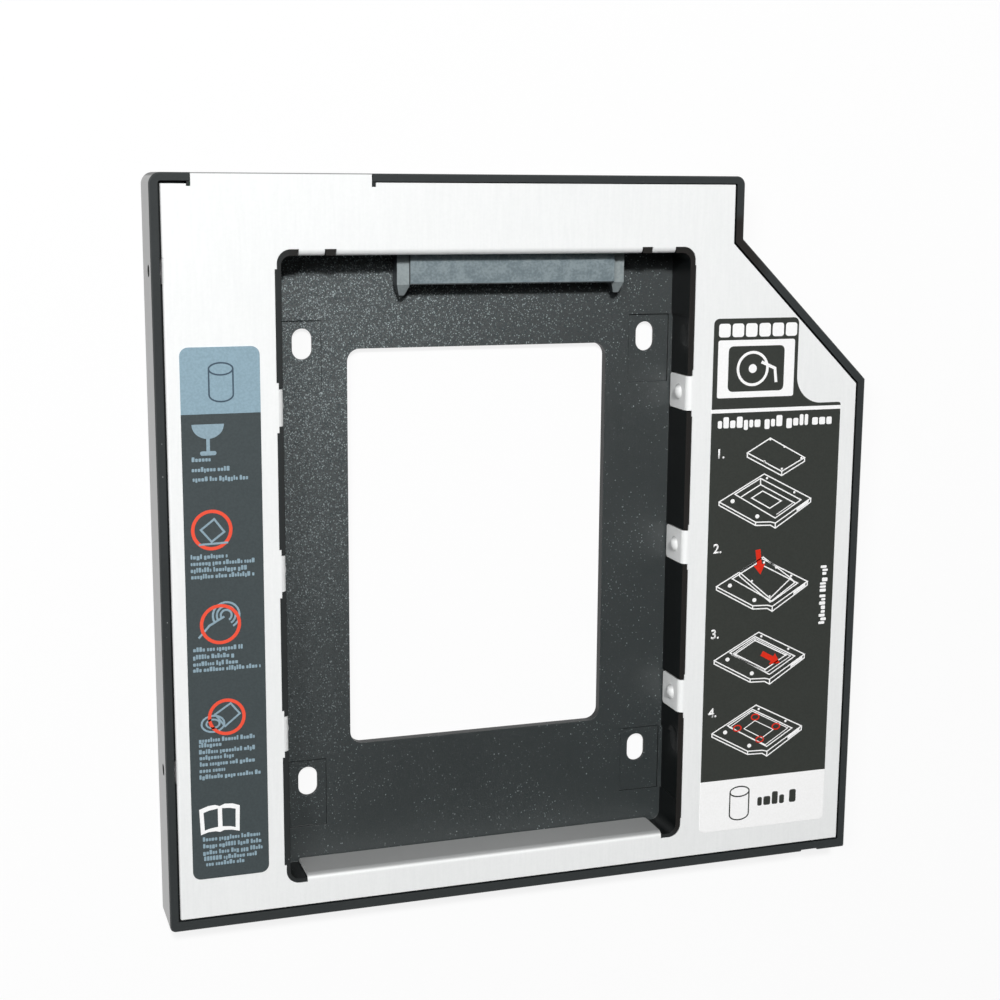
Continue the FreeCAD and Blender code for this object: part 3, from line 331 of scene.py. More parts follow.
def paint_cover(shade):
    at = place(shade)
    rolled = noise(shade, at * STRETCH, ROLLED, 3.0)
    pits = noise(shade, at, PITS, 2.0)
    cloud = noise(shade, at, SHADE, 2.0)
    tone = rolled * 0.35 + cloud * 0.4 + pits * 0.25
    sheet = tone.ease(0.25, 0.75).blend(SHEET_DARK, SHEET_LIGHT)
    # painted shade: a thin dark line along the rear edge, and greyer faces that look back
    edge_shade = at.axis("Y").ease(*SHADED_REAR_EDGE) * 0.75
    lip_shade = facing(shade, "Y", *LOOKS_BACK) * 0.66
    return surface(shade, {
        "Base Color": (edge_shade + lip_shade).blend(sheet, PAINTED_SHADE_GREY),
        "Roughness": rolled * 0.08 + pits * 0.06 + 0.62,
        "Normal": bump(shade, rolled * 0.5 + pits * 0.5, PIT_DEEP,
                       soft_normal(shade, SHEET_EDGE)),
    }, Metallic=0.16)


satin_aluminium = finish("satin_aluminium_finish", paint_cover)
dress("top_cover", satin_aluminium)
print("cover dressed")

# %% [markdown]
# ## The small parts
#
# The socket and the plug are glass-filled plastic. The socket has uneven blue-grey tops,
# lightest on its two posts, which guide the drive in, and sides painted dark, painted shade. The
# plug is plain black.
# The board is green laminate with a clear lacquer and carries clay capacitors and glazed
# resistors. The contacts are gilded brass, the locks are tinned steel and the screws are zinc
# plated. Each is one short recipe: a base, a slight unevenness of tone, and a roughness that says
# how it was made.

# %% Finishes of the small parts
POST = (2.15, 2.05)   # mm from the socket's end between which a guide post starts
SOCKET_TOP_UP = (0.6, 0.95)
SOCKET_SIDE_SHADE, POST_GREY = (0.028, 0.034, 0.038), (0.38, 0.41, 0.40)
TOP_DARK, TOP_LIGHT = (0.150, 0.190, 0.208), (0.235, 0.285, 0.303)
CHIP_BLOTCH, BOARD_BLOTCH = 0.3, 3.0   # mm


def even(name, dark, light, rough, size=0.6, grain=0.2, depth=0.004, edge=0.08, **constants):
    """Two near tones in blotches of `size` mm, a fine grain and rounded edges."""
    def paint(shade):
        at = place(shade)
        tone = noise(shade, at, size, 3.0)
        return surface(shade, {
            "Base Color": tone.ease(0.3, 0.7).blend(dark, light),
            "Roughness": tone * 0.08 + (rough - 0.04),
            "Normal": bump(shade, noise(shade, at, grain, 2.0), depth, soft_normal(shade, edge)),
        }, **constants)
    return finish(name, paint)


def paint_socket(shade):
    at = place(shade)
    up = facing(shade, "Z", *SOCKET_TOP_UP)
    tone = noise(shade, at, 1.1, 3.0) * 0.5 + noise(shade, at, 0.22, 2.0) * 0.5
    ends = [corner[0] / MM for corner in nodes["drive_socket_housing"].bound_box]
    middle, half = (max(ends) + min(ends)) / 2, (max(ends) - min(ends)) / 2
    post = beyond(at.axis("X") - middle, half - POST[0], half - POST[1]) * 0.4
    top = post.blend(tone.ease(0.38, 0.62).blend(TOP_DARK, TOP_LIGHT), POST_GREY)
    # painted shade: the sides are dark, the upward tops a lighter blue-grey
    return surface(shade, {
        "Base Color": up.blend(SOCKET_SIDE_SHADE, top),
        "Roughness": tone * 0.08 + 0.40,
        "Normal": bump(shade, noise(shade, at, 0.12, 2.0), 0.010, soft_normal(shade, 0.08)),
    })


socket_plastic = finish("socket_plastic_finish", paint_socket)
plug_plastic = even("plug_plastic_finish", (0.020, 0.021, 0.022), (0.034, 0.035, 0.036), 0.40)
green_board = even("green_board_finish", (0.010, 0.085, 0.030), (0.016, 0.125, 0.042), 0.30,
                   BOARD_BLOTCH, Coat_Weight=0.4, Coat_Roughness=0.15)
gilded_brass = even("gilded_brass_finish", (0.80, 0.60, 0.28), (0.90, 0.70, 0.36), 0.22,
                    Metallic=1.0)
plated_screw = even("plated_screw_finish", (0.50, 0.51, 0.52), (0.62, 0.63, 0.64), 0.28,
                    Metallic=1.0)
tinned_lock = even("tinned_lock_finish", (0.62, 0.62, 0.60), (0.72, 0.72, 0.70), 0.34,
                   Metallic=1.0)
capacitor_clay = even("capacitor_clay_finish", (0.30, 0.19, 0.10), (0.38, 0.25, 0.14), 0.45,
                      CHIP_BLOTCH)
resistor_glaze = even("resistor_glaze_finish", (0.012, 0.012, 0.013), (0.03, 0.03, 0.03), 0.25,
                      CHIP_BLOTCH)

SMALL_FINISHES = {
    "drive_socket_housing": socket_plastic, "rear_plug_housing": plug_plastic,
    "circuit_board": green_board, "_contacts": gilded_brass, "board_screw": plated_screw,
    "_lock_": tinned_lock, "board_capacitor": capacitor_clay, "board_resistor": resistor_glaze}
for name in sorted(nodes):
    for part_of_name, material in SMALL_FINISHES.items():
        if part_of_name in name:
            dress(name, material)
print("small parts dressed")

# %% [markdown]
# ## The labels
#
# Each label is polyester film, 0.08 mm thick, printed and stuck on the cover. A picture would be
# the quick way to print it, and it would blur up close. Here the film is a thin sheet whose
# fields are faces with their own ink, and what is printed on it is a thin layer of ink standing
# a hair above it: outlines that are filled, and strokes that follow a line of points. A stroke is
# a row of four-sided faces. Where two shapes cross, each lies a hair of a thousandth of a
# millimetre above the one before, because two faces in exactly the same place would shade black.
# After six hairs the count starts again.
#
# Small print is set as rows of blocks in the rhythm of words, so it reads as print and says
# nothing.

# %% Film and ink as thin layers
FILM_BOTTOM, FILM_TOP, INK_TOP = 9.40, 9.480, 9.488   # heights in mm
INK_BOTTOM = FILM_TOP - 0.02
HAIR, HAIRS = 0.001, 6
SECOND, THIRD, FOURTH = 0.003, 0.004, 0.005   # lifts in mm of ink over ink that is there already
WELD = 1e-7   # metres within which two corners are one


def add(name, data):
    """An object of the scene that shows `data`."""
    made = bpy.data.objects.new(name, data)
    bpy.context.scene.collection.objects.link(made)
    return made


def thicken(mesh, bottom, data):
    """Grows flat faces down to `bottom` mm and hands them over to `data`."""
    grown = bmesh.ops.extrude_face_region(mesh, geom=mesh.faces[:], use_keep_orig=True)
    for vert in [v for v in grown["geom"] if isinstance(v, bmesh.types.BMVert)]:
        vert.co.z = bottom * MM
    bmesh.ops.recalc_face_normals(mesh, faces=mesh.faces[:])
    mesh.to_mesh(data)
    mesh.free()


def layer(name, shapes, inks, top, bottom, ink_of_shape=None):
    """A thin layer. A shape is an outline, a list of points in mm, or a list of outlines."""
    mesh = bmesh.new()
    for number, shape in enumerate(shapes):
        height = (top + HAIR * (number % HAIRS if top > FILM_TOP else 0)) * MM
        for outline in shape if isinstance(shape[0], list) else [shape]:
            sides = zip(outline, outline[1:] + outline[:1])
            area = sum(a[0] * b[1] - b[0] * a[1] for a, b in sides)
            turned = outline if area > 0 else outline[::-1]
            face = mesh.faces.new([mesh.verts.new((x * MM, y * MM, height)) for x, y in turned])
            face.material_index = ink_of_shape[number] if ink_of_shape else 0
    bmesh.ops.remove_doubles(mesh, verts=mesh.verts[:], dist=WELD)
    data = bpy.data.meshes.new(name)
    thicken(mesh, bottom, data)
    piece = add(name, data)
    for one in inks:
        data.materials.append(one)
    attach(piece, "root")
    return piece


def print_label(side, name, shapes, one_ink, lift=0.0):
    """Prints on the left or the right label, `lift` mm above plain ink."""
    layer(side + "_label_" + name, shapes, [one_ink], INK_TOP + lift, INK_BOTTOM)


print("film", round(FILM_TOP - FILM_BOTTOM, 3), "mm thick")

# %% [markdown]
# The outlines are drawn with a few small helpers: an arc, a box with round corners, and a
# stroke, which turns a line of points into a row of four-sided faces of one width. The corners
# of a stroke are mitred. `small_print` measures its blocks in parts of the letters' height.

# %% Drawing helpers
LETTER_WIDE = (0.34, 0.62)
LETTER_GAP, WORD_GAP = 0.13, 0.42
SHORT_LETTER, TALL_LETTER, BELOW_LINE = 0.68, 1.0, -0.22
HALF_UP = 0.42             # the middle of a row of letters above their foot
LEAST_LETTER, LETTER_ROUND = 0.3, 0.12
BELOW_SHARE, TALL_FROM = 0.12, 0.66   # chance that a block reaches down, and up
WORD_LETTERS = (3, 8)      # blocks in a word
MITRE_LIMIT, SHORTEST = 0.35, 0.01    # share of the width, and mm
LID_DEEP, BOTTOM_DEEP = 0.5, 0.58     # of a drum, in parts of its half width


def arc(x, y, rx, ry, start, end, steps=12):
    turns = [math.radians(start + (end - start) * i / steps) for i in range(steps + 1)]
    return [(x + rx * math.cos(t), y + ry * math.sin(t)) for t in turns]


def disc(x, y, rx, ry=None, steps=20):
    return arc(x, y, rx, ry or rx, 0, 360, steps)[:-1]


def round_box(x0, y0, x1, y1, r, steps=4):
    r = min(r, (x1 - x0) / 2, (y1 - y0) / 2)
    corners = [(x1 - r, y0 + r, 270), (x1 - r, y1 - r, 0),
               (x0 + r, y1 - r, 90), (x0 + r, y0 + r, 180)]
    return [p for x, y, a in corners for p in arc(x, y, r, r, a, a + 90, steps)]


def stroke(points, width, closed=False):
    points = [Vector(p) for p in points]
    points = points[:1] + [b for a, b in zip(points, points[1:]) if (b - a).length > SHORTEST]
    count, half = len(points), width / 2
    left, right = [], []
    for i, here in enumerate(points):
        before = points[i - 1] if closed or i else None
        after = points[(i + 1) % count] if closed or i < count - 1 else None
        runs = [(b - a).normalized() for a, b in ((before, here), (here, after)) if a and b]
        along = sum(runs, Vector((0, 0))).normalized()
        side = Vector((-along.y, along.x))
        reach = half / max(MITRE_LIMIT, side.dot(Vector((-runs[0].y, runs[0].x))))
        left.append(tuple(here + side * reach))
        right.append(tuple(here - side * reach))
    last = count if closed else count - 1
    return [[left[i], right[i], right[(i + 1) % count], left[(i + 1) % count]]
            for i in range(last)]


def small_print(x0, x1, y, height, chance, upright=False):
    """Blocks in the rhythm of words, from x0 to x1 round the line y; `upright` runs them up."""
    blocks, x, letters = [], x0, chance.randint(*WORD_LETTERS)
    while x < x1 - height * LEAST_LETTER:
        wide = min(height * chance.uniform(*LETTER_WIDE), x1 - x)
        tall = chance.random()
        low = BELOW_LINE if tall < BELOW_SHARE else 0.0
        high = TALL_LETTER if tall > TALL_FROM else SHORT_LETTER
        box = round_box(x, y + (low - HALF_UP) * height, x + wide, y + (high - HALF_UP) * height,
                        height * LETTER_ROUND, 2)
        blocks.append([(y - (py - y), px) for px, py in box] if upright else box)
        letters -= 1
        x += wide + height * (LETTER_GAP if letters else WORD_GAP)
        letters = letters or chance.randint(*WORD_LETTERS)
    return blocks


def drum(x, top, bottom, rx, width):
    """The sign for storage: an oval lid, two sides and a round bottom."""
    return [stroke(disc(x, top, rx, rx * LID_DEEP, 28), width, True),
            stroke([(x - rx, top)] + arc(x, bottom, rx, rx * BOTTOM_DEEP, 180, 360, 14)
                   + [(x + rx, top)], width)]


print("a ring of 20 points has", len(stroke(disc(0, 0, 3), 0.5, True)), "faces")

# %% [markdown]
# Printed polyester is smooth with a slight orange-peel, so all inks share one recipe and differ
# in colour only.


# %% Inks
UNEVEN, UNEVEN_WHITE, PALE = 0.07, 0.02, 0.9   # spread of tone, and where an ink counts as white
INK_ROUGH = 0.42


def ink(name, colour):
    spread = UNEVEN if max(colour) < PALE else UNEVEN_WHITE
    darker = tuple(v * (1 - spread) for v in colour)
    lighter = tuple(min(1, v * (1 + spread)) for v in colour)
    return even(name, darker, lighter, INK_ROUGH, size=0.18, grain=1.1, depth=0.003, edge=0.04,
                Specular_IOR_Level=0.4)


slate_ink = ink("slate_ink", (0.060, 0.075, 0.079))
sky_ink = ink("sky_ink", (0.275, 0.400, 0.475))
outline_ink = ink("outline_ink", (0.060, 0.095, 0.130))
mist_ink = ink("mist_ink", (0.280, 0.390, 0.455))
coral_ink = ink("coral_ink", (0.90, 0.095, 0.050))
white_ink = ink("white_ink", (0.985, 0.985, 0.98))
coal_ink = ink("coal_ink", (0.041, 0.045, 0.040))
signal_ink = ink("signal_ink", (0.74, 0.030, 0.012))
print("inks:", [m.name for m in bpy.data.materials if m.name.endswith("_ink")])

# %% [markdown]
# ### The left label
#
# A long strip with round corners. Its rear end is blue-grey with the sign of a drum, and the
# rest is slate with small symbols above short rows of print. The film is two faces with two
# inks that share the line between them.

# %% Left label: the film
LEFT_X0, LEFT_X1, LEFT_Y0, LEFT_Y1, LEFT_ROUND = -59.95, -47.05, -54.10, 35.60, 1.4
FIELD_Y = 24.82
CORNER_STEPS = 6
strip = round_box(LEFT_X0, LEFT_Y0, LEFT_X1, LEFT_Y1, LEFT_ROUND, CORNER_STEPS)
from_front = strip[2 * (CORNER_STEPS + 1):] + strip[:CORNER_STEPS + 1]
upper_field = [p for p in strip if p[1] > FIELD_Y] + [(LEFT_X0, FIELD_Y), (LEFT_X1, FIELD_Y)]
lower_field = [(LEFT_X1, FIELD_Y), (LEFT_X0, FIELD_Y)] + [p for p in from_front if p[1] < FIELD_Y]
left_film = layer("left_label_film", [upper_field, lower_field], [sky_ink, slate_ink],
                  FILM_TOP, FILM_BOTTOM, [0, 1])
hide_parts("left_label")
print("left film", len(left_film.data.polygons), "faces")

# %% Left label: symbols
DRUM_PEN, SYMBOL_PEN, TAG_PEN, RING_PEN = 0.26, 0.34, 0.32, 0.56
HAND_PEN, INNER_PEN = 0.36, 0.30
print_label("left", "drum", drum(-53.40, 32.06, 27.9, 1.95, DRUM_PEN), outline_ink)

goblet = [arc(-55.68, 23.18, 2.62, 2.38, 180, 360, 16), round_box(-55.98, 18.6, -55.40, 21.2, 0.1),
          round_box(-57.02, 18.10, -54.38, 18.80, 0.33)]
tilted_card = [stroke([(-57.2, 5.9), (-55.0, 7.6), (-53.4, 5.4), (-55.5, 3.85)], SYMBOL_PEN, True),
               stroke([(-57.6, 3.45), (-52.8, 3.6)], SYMBOL_PEN)]
waves = [stroke(arc(-53.4, -8.6, radius, radius, -60, 215, 18), SYMBOL_PEN)
         for radius in (0.9, 1.55, 2.2)]
waves.append(stroke([(-58.0, -12.2), (-56.2, -10.2), (-53.7, -8.8)], HAND_PEN))
tag = [stroke([(-55.6, -25.4), (-53.0, -23.7), (-51.5, -25.6), (-54.0, -27.6)], TAG_PEN, True),
       stroke(disc(-56.0, -27.0, 1.9, 1.4, 20), TAG_PEN, True),
       stroke(disc(-56.0, -27.0, 1.1, 0.75, 16), INNER_PEN, True)]
print_label("left", "symbols", goblet + tilted_card + waves + tag, mist_ink)

rings = [stroke(disc(x, y, radius, radius, 48), RING_PEN, True)
         for x, y, radius in ((-55.42, 5.80, 3.10), (-54.36, -10.06, 3.12),
                              (-53.68, -26.00, 2.88))]
print_label("left", "rings", rings, coral_ink, SECOND)
print("left label: symbols printed")

# %% Left label: rows and booklet
# Where each row starts and ends in X, and its Y.
LEFT_ROWS = [(-58.40, -54.99, 17.45), (-58.44, -52.08, 15.80), (-58.32, -49.00, 14.23),
             (-58.97, -52.85, 1.42), (-58.99, -47.99, 0.33), (-59.02, -49.80, -0.80),
             (-58.97, -48.48, -1.88), (-58.97, -50.70, -14.16), (-59.00, -52.01, -15.41),
             (-59.03, -51.29, -16.60),
             (-59.06, -47.86, -17.62), (-58.40, -48.95, -29.78), (-58.42, -54.50, -30.61),
             (-58.45, -49.02, -31.75), (-58.37, -52.21, -32.78), (-58.36, -49.07, -33.90),
             (-58.43, -53.95, -35.02), (-58.46, -48.08, -36.15), (-58.18, -48.49, -47.10),
             (-58.15, -48.20, -48.30), (-58.18, -48.12, -49.47), (-58.04, -49.13, -50.55),
             (-57.72, -51.12, -51.53)]
LEFT_LETTERS = 0.78
chance = random.Random(11)
rows = [block for x0, x1, y in LEFT_ROWS
        for block in small_print(x0, x1, y, LEFT_LETTERS, chance)]
print_label("left", "rows", rows, mist_ink)

open_book = [(-58.66, -41.75), (-57.2, -41.25), (-56.0, -41.15), (-55.22, -41.45),
             (-54.4, -41.12), (-53.1, -41.2), (-51.84, -41.66), (-51.95, -46.20),
             (-53.2, -45.85), (-54.5, -45.75), (-55.21, -46.0), (-56.0, -45.8),
             (-57.2, -45.85), (-58.46, -46.25)]
left_page = [(-57.95, -42.35), (-57.0, -42.05), (-55.55, -41.85),
             (-55.55, -45.05), (-57.0, -45.25), (-57.8, -45.5)]
right_page = [(-54.85, -41.85), (-53.5, -41.95), (-52.55, -42.2),
              (-52.62, -45.45), (-53.5, -45.2), (-54.82, -45.05)]
print_label("left", "booklet", [open_book], white_ink)
print_label("left", "pages", [left_page, right_page], slate_ink, SECOND)
print("left label:", len(rows), "blocks of small print")

# %% [markdown]
# ### The right label
#
# A wide label cut to follow the sloping corner, with an inward curve at its shoulder. A white
# line and a white foot divide a charcoal ground. On the ground are four small drawings of how
# the drive goes in, numbered 1 to 4. They are drawn from the caddy's own proportions: `slanted`
# turns a place on the caddy, from 0 to 1 along its two sides, into a place on the label.

# %% Right label: the film
RIGHT_X0, RIGHT_X1, NECK_X1 = 33.45, 59.15, 50.10
RIGHT_Y0, FOOT_Y, LINE_Y0, LINE_Y1 = -56.80, -46.95, 21.65, 22.32
SHOULDER_Y, RIGHT_Y1 = 22.90, 38.40
ROUND, TIGHT, INWARD = 1.0, 0.4, 5.0   # radii of the corners, the shoulder and the inward curve


def rounded(x, y, r, start, end, steps=4):
    return arc(x, y, r, r, start, end, steps)


neck = ([(RIGHT_X0, LINE_Y1), (RIGHT_X1, LINE_Y1)]
        + rounded(RIGHT_X1 - TIGHT, SHOULDER_Y - TIGHT, TIGHT, 0, 90, 3)
        + rounded(NECK_X1 + INWARD, SHOULDER_Y + INWARD, INWARD, 270, 180, 14)
        + rounded(NECK_X1 - ROUND, RIGHT_Y1 - ROUND, ROUND, 0, 90)
        + rounded(RIGHT_X0 + ROUND, RIGHT_Y1 - ROUND, ROUND, 90, 180))
line_box = [(RIGHT_X0, LINE_Y0), (RIGHT_X1, LINE_Y0), (RIGHT_X1, LINE_Y1), (RIGHT_X0, LINE_Y1)]
ground = [(RIGHT_X0, FOOT_Y), (RIGHT_X1, FOOT_Y), (RIGHT_X1, LINE_Y0), (RIGHT_X0, LINE_Y0)]
foot = (rounded(RIGHT_X0 + ROUND, RIGHT_Y0 + ROUND, ROUND, 180, 270)
        + rounded(RIGHT_X1 - ROUND, RIGHT_Y0 + ROUND, ROUND, 270, 360)
        + [(RIGHT_X1, FOOT_Y), (RIGHT_X0, FOOT_Y)])
right_film = layer("right_label_film", [neck, line_box, ground, foot], [coal_ink, white_ink],
                   FILM_TOP, FILM_BOTTOM, [0, 1, 0, 1])
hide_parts("right_label")
print("right film", len(right_film.data.polygons), "faces")

# %% Right label: one drawing of the caddy
SIDE, REAR, DROP = Vector((8.81, 4.69)), Vector((9.60, -4.95)), Vector((0.0, -0.55))
PEN, FINE_PEN = 0.22, 0.16
FLATTER = 0.92   # the height of a screw's head in parts of its width


def slanted(corner, along, across, down=0.0):
    return tuple(Vector(corner) + SIDE * along + REAR * across + DROP * down)


def slanted_line(corner, places, width=PEN, closed=False):
    return stroke([slanted(corner, *place) for place in places], width, closed)


def caddy_drawing(corner):
    edge = [(0, 0), (1, 0), (1, 1), (0.15, 1.05), (0.125, 0.97), (-0.03, 0.80)]
    below = [(0, 0), (0, 0, 1.1), (-0.03, 0.80, 1.1), (0.125, 0.97, 1.1),
             (0.15, 1.05, 1.7), (1, 1, 1.3), (1, 1)]
    opening = [(0.308, 0.04), (0.876, 0.04), (0.868, 0.914), (0.247, 0.952)]
    drawn = [slanted_line(corner, edge, PEN, True), slanted_line(corner, below),
             slanted_line(corner, [(-0.03, 0.80), (-0.03, 0.80, 1.1)]),
             slanted_line(corner, [(0.15, 1.05), (0.15, 1.05, 1.7)]),
             slanted_line(corner, opening, PEN, True)]
    dots = [disc(*slanted(corner, a, b), r, r * FLATTER, 14)
            for a, b, r in ((0.15, 0.14, 0.42), (0.10, 0.71, 0.42),
                            (0.945, 0.111, 0.24), (0.95, 0.693, 0.24))]
    plug = [slanted(corner, *place)
            for place in ((0.66, 1.02), (0.95, 1.01), (0.94, 1.01, 0.9), (0.65, 1.03, 0.9))]
    return drawn + dots + [plug]


def well_drawing(corner):
    return [slanted_line(corner, [(0.316, 0.159), (0.755, 0.156), (0.741, 0.909)]),
            slanted_line(corner, [(0.876, 0.04), (0.755, 0.156)]),
            slanted_line(corner, [(0.403, 0.302), (0.652, 0.299), (0.645, 0.70), (0.385, 0.705)],
                         PEN, True),
            slanted_line(corner, [(0.714, 0.880), (0.332, 0.900)], FINE_PEN)]


corners = [(35.42, 5.62), (35.42, -9.95), (35.42, -23.82), (35.42, -37.72)]
drawings = [shape for corner in corners for shape in caddy_drawing(corner)]
drawings += well_drawing(corners[0])
print("drawings so far:", len(drawings), "shapes")

# %% Right label: the drive in its four steps
DOT_WIDE, DOT_HIGH, DOT_STEPS = 0.22, 0.20, 10


def screw_dots(places):
    return [disc(x, y, DOT_WIDE, DOT_HIGH, DOT_STEPS) for x, y in places]


above = [(40.72, 14.30), (45.19, 16.80), (52.25, 12.95), (47.72, 10.62)]
drawings += [stroke(above, PEN, True), stroke([above[3], (47.72, 9.85)], PEN),
             stroke([above[0], (40.72, 13.55), (47.72, 9.85), (52.25, 12.25), above[2]], PEN)]
drawings += screw_dots([(45.2, 16.55), (48.1, 15.1), (47.72, 11.1), (44.2, 12.6), (51.6, 12.9)])
tipped = [(39.9, -7.55), (44.6, -5.05), (50.4, -9.35), (46.3, -12.9)]
drawings += [stroke(tipped, PEN, True),
             stroke([tipped[0], (40.0, -8.35), (46.35, -13.6), (51.2, -10.3), tipped[2]], PEN)]
drawings += screw_dots([(40.2, -7.8), (42.5, -9.35), (47.3, -7.2), (50.2, -9.5), (46.2, -12.5)])
laid = [(0.33, 0.13), (0.80, 0.11), (0.80, 0.78), (0.31, 0.80)]
drawings += [slanted_line(corners[2], laid, PEN, True),
             slanted_line(corners[2], [(0.29, 0.10), (0.84, 0.07), (0.83, 0.86), (0.27, 0.88)],
                          FINE_PEN, True)]
drawings += screw_dots([slanted(corners[2], *place) for place in laid])
drawings += [slanted_line(corners[3], places, FINE_PEN, True)
             for places in ([(0.40, 0.31), (0.67, 0.29), (0.66, 0.70), (0.38, 0.72)],
                            [(0.29, 0.10), (0.84, 0.07), (0.83, 0.86), (0.27, 0.90)])]
print_label("right", "drawings", drawings, white_ink)
print("drawings:", len(drawings), "shapes")

# %% Right label: arrows and ovals
ARROW_WIDE, ARROW_HEAD, OVAL_PEN = 1.0, 1.9, 0.24
BARB = 0.62   # half the width of an arrow's head, in parts of its length


def arrow(tail, tip, width, head):
    tail, tip = Vector(tail), Vector(tip)
    along = (tip - tail).normalized()
    side = Vector((-along.y, along.x))
    neck_at = tip - along * head
    shaft, barb = side * width / 2, side * head * BARB
    points = [tail + shaft, tail - shaft, neck_at - shaft, neck_at - barb,
              tip, neck_at + barb, neck_at + shaft]
    return [tuple(p) for p in points]


red = [arrow((43.5, -3.6), (44.15, -8.3), ARROW_WIDE, ARROW_HEAD),
       arrow((45.0, -23.2), (48.8, -25.35), ARROW_WIDE, ARROW_HEAD)]
red += [stroke(disc(x, y, 0.78, 0.55, 16), OVAL_PEN, True)
        for x, y in ((44.14, -35.32), (48.48, -37.54), (40.53, -37.15), (45.20, -39.74))]
print_label("right", "arrows", red, signal_ink, THIRD)
print("red shapes:", len(red))

# %% Right label: rows, field and foot
chance = random.Random(5)
HEADING_LETTERS, SIDE_LETTERS, FOOT_LETTERS = 2.0, 1.25, 2.5
TILE_PITCH = 2.62
words = small_print(34.70, 57.96, 19.75, HEADING_LETTERS, chance)
words += small_print(-18.54, -7.06, 57.2, SIDE_LETTERS, chance, upright=True)
words += [round_box(34.40 + TILE_PITCH * i, 35.10, 36.65 + TILE_PITCH * i, 37.50, 0.5)
          for i in range(6)]
print_label("right", "rows", words, white_ink)
print_label("right", "foot_drum", drum(41.45, -49.5, -53.9, 1.95, DRUM_PEN), coal_ink)
foot_row = small_print(45.2, 53.9, -51.7, FOOT_LETTERS, chance)
print_label("right", "foot_row", foot_row, coal_ink)

print_label("right", "field", [round_box(34.35, 24.32, 49.42, 34.58, 0.4)], white_ink)
print_label("right", "drive_sign", [round_box(36.4, 25.4, 47.4, 33.5, 0.9)], coal_ink, SECOND)
platter = [stroke(disc(41.2, 29.45, 2.9, 2.9, 32), 0.5, True), disc(41.2, 29.45, 0.8, 0.8, 16),
           stroke([(45.9, 26.9), (45.6, 29.4), (42.9, 30.6)], 0.55)]
print_label("right", "drive_sign_lines", platter, white_ink, FOURTH)
print("right label printed")

# %% Right label: the numerals
NUMERAL_X, NUMERAL_HIGH = 34.55, 1.65
CAP_SHARE = 0.69   # a numeral's height in parts of the font's size
FATTER = 0.06      # mm that the outline of the font is moved out


def numeral(text, x, y, height):
    letter = bpy.data.curves.new("step_" + text, type="FONT")
    letter.body, letter.size = text + ".", height / CAP_SHARE * MM
    letter.offset = FATTER * MM
    flat = add("step_" + text, letter)
    bpy.context.view_layer.update()
    graph = bpy.context.evaluated_depsgraph_get()
    data = bpy.data.meshes.new_from_object(flat.evaluated_get(graph))
    bpy.data.objects.remove(flat)
    mesh = bmesh.new()
    mesh.from_mesh(data)
    for vert in mesh.verts:
        vert.co.x += x * MM
        vert.co.y += y * MM
        vert.co.z = INK_TOP * MM
    thicken(mesh, INK_BOTTOM, data)
    piece = add("right_label_numeral_" + text, data)
    data.materials.clear()
    data.materials.append(white_ink)
    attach(piece, "root")


for text, y in (("1", 13.55), ("2", -3.75), ("3", -19.65), ("4", -34.55)):
    numeral(text, NUMERAL_X, y, NUMERAL_HIGH)
print("numerals 1 to 4 set")

# %% [markdown]
# ## The camera
#
# The photograph was taken from above the tray's rear left corner, close enough for the near
# side to look larger. The place, the turn and the lens below were solved from edges whose real
# positions are known, such as the slots that match a drive's screw holes.

# %% Camera
lens = bpy.data.cameras.new("photo_camera")
lens.sensor_width, lens.lens = 36.0, 62.263
lens.clip_start, lens.clip_end = 0.01, 20.0
camera = add("photo_camera", lens)
camera.location = [v * MM for v in (-98.999, 62.585, 285.593)]
camera.rotation_euler = [math.radians(a) for a in (-10.71292, -18.53816, 0.42524)]
bpy.context.scene.camera = camera
print("camera", [round(v, 4) for v in camera.location])

# %% [markdown]
# ## Light, table and background
#
# A small key lamp stands above and behind the caddy, so folds and lips throw short shadows
# towards the front, and the black plastic glitters. A wide, weaker lamp on the left lights the
# faces that are turned that way and softens the shadows. The room above is dim, which keeps
# the shadows deep. Table and wall are white for the camera and in reflections by colour alone,
# and they still take some of the light and the caddy's shadow. The wall is a wide ring, so that
# views from the side have a white background too.

# %% Lamps and world
def lamp(name, towards, away, across, watts):
    """A round lamp, `across` metres wide, `away` metres from the origin and turned to it."""
    light = bpy.data.lights.new(name, "AREA")
    light.shape, light.size, light.energy = "DISK", across, watts
    stand_in = add(name, light)
    stand_in.location = Vector(towards).normalized() * away
    stand_in.rotation_euler = Vector(towards).to_track_quat("Z", "Y").to_euler()
    return stand_in


key = lamp("key_lamp", (-0.22, 0.52, 1.0), away=1.2, across=0.12, watts=12.2)
side = lamp("side_lamp", (-0.75, 0.45, 1.0), away=1.2, across=0.40, watts=3.5)

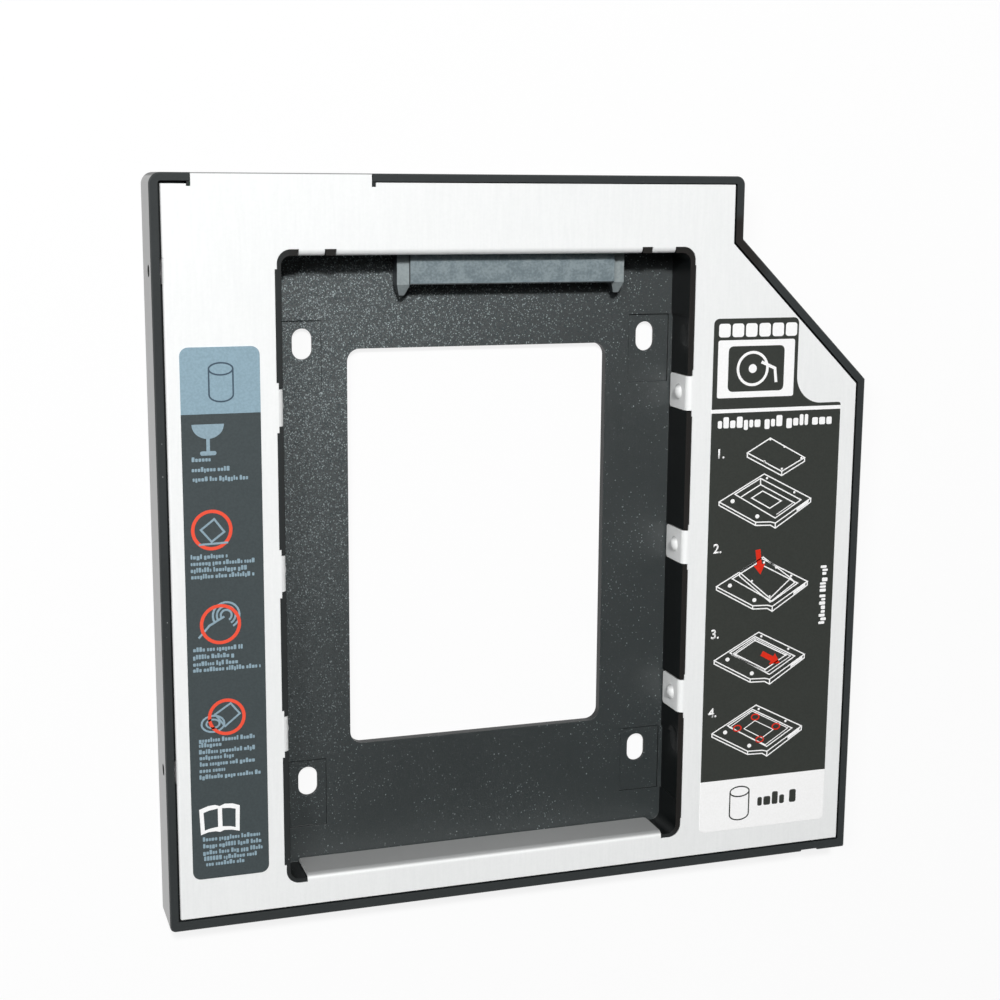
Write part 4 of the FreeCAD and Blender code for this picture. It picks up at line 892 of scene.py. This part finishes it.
world = bpy.data.worlds.new("studio")
world.use_nodes = True
world.node_tree.nodes.clear()
room = Wire(world.node_tree)
dim = room.node("ShaderNodeBackground", {}, {"Color": (0.96, 0.98, 1.0, 1), "Strength": 0.025})
room.node("ShaderNodeOutputWorld", {}, {"Surface": dim})
bpy.context.scene.world = world
bpy.context.scene.view_settings.view_transform = "Standard"
print("lamps", [(one.name, round(one.data.energy, 1)) for one in (key, side)])

# %% Table and wall
TABLE_HALF, WALL_HIGH, CLEARANCE = 1.5, 0.5, 0.00005   # metres
RING_STEPS = 96
WHITE_SHARE = 0.85   # of what the camera sees of the paper


def paint_paper(shade):
    lit = shade.node("ShaderNodeBsdfDiffuse", {}, {"Color": (0.92, 0.92, 0.92, 1)})
    white = shade.node("ShaderNodeEmission", {}, {"Color": (1, 1, 1, 1), "Strength": 1.0})
    rays = [shade.node("ShaderNodeLightPath", {}, {}, out=ray)
            for ray in ("Is Camera Ray", "Is Glossy Ray", "Is Transmission Ray")]
    return ((rays[0] + rays[1] + rays[2]) * WHITE_SHARE).mix(lit, white)


def stand(name, mesh):
    data = bpy.data.meshes.new(name)
    mesh.to_mesh(data)
    mesh.free()
    thing = add(name, data)
    data.materials.append(white_paper)
    thing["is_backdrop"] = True


white_paper = finish("white_paper", paint_paper)
table = bmesh.new()
bmesh.ops.create_circle(table, cap_ends=True, segments=RING_STEPS, radius=TABLE_HALF)
for vert in table.verts:
    vert.co.z = -CLEARANCE
stand("studio_table", table)

wall = bmesh.new()
turns = [math.tau * i / RING_STEPS for i in range(RING_STEPS)]
low, high = [[wall.verts.new((TABLE_HALF * math.cos(t), TABLE_HALF * math.sin(t), z))
              for t in turns] for z in (-CLEARANCE, WALL_HIGH)]
for i in range(RING_STEPS):
    after = (i + 1) % RING_STEPS
    wall.faces.new((low[i], high[i], high[after], low[after]))
stand("studio_wall", wall)
print("table across", 2 * TABLE_HALF, "m")

# %% [markdown]
# ## Last check
#
# Dressing must not change the size.

# %% Sizes and end
sizes = {"cad": [list(v) for v in cad_box], "visual": [list(v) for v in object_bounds()]}
corners_of_boxes = zip(*sizes.values())
print("grown by mm:", [[round((b - a) / MM, 3) for a, b in zip(*pair)]
                       for pair in corners_of_boxes])
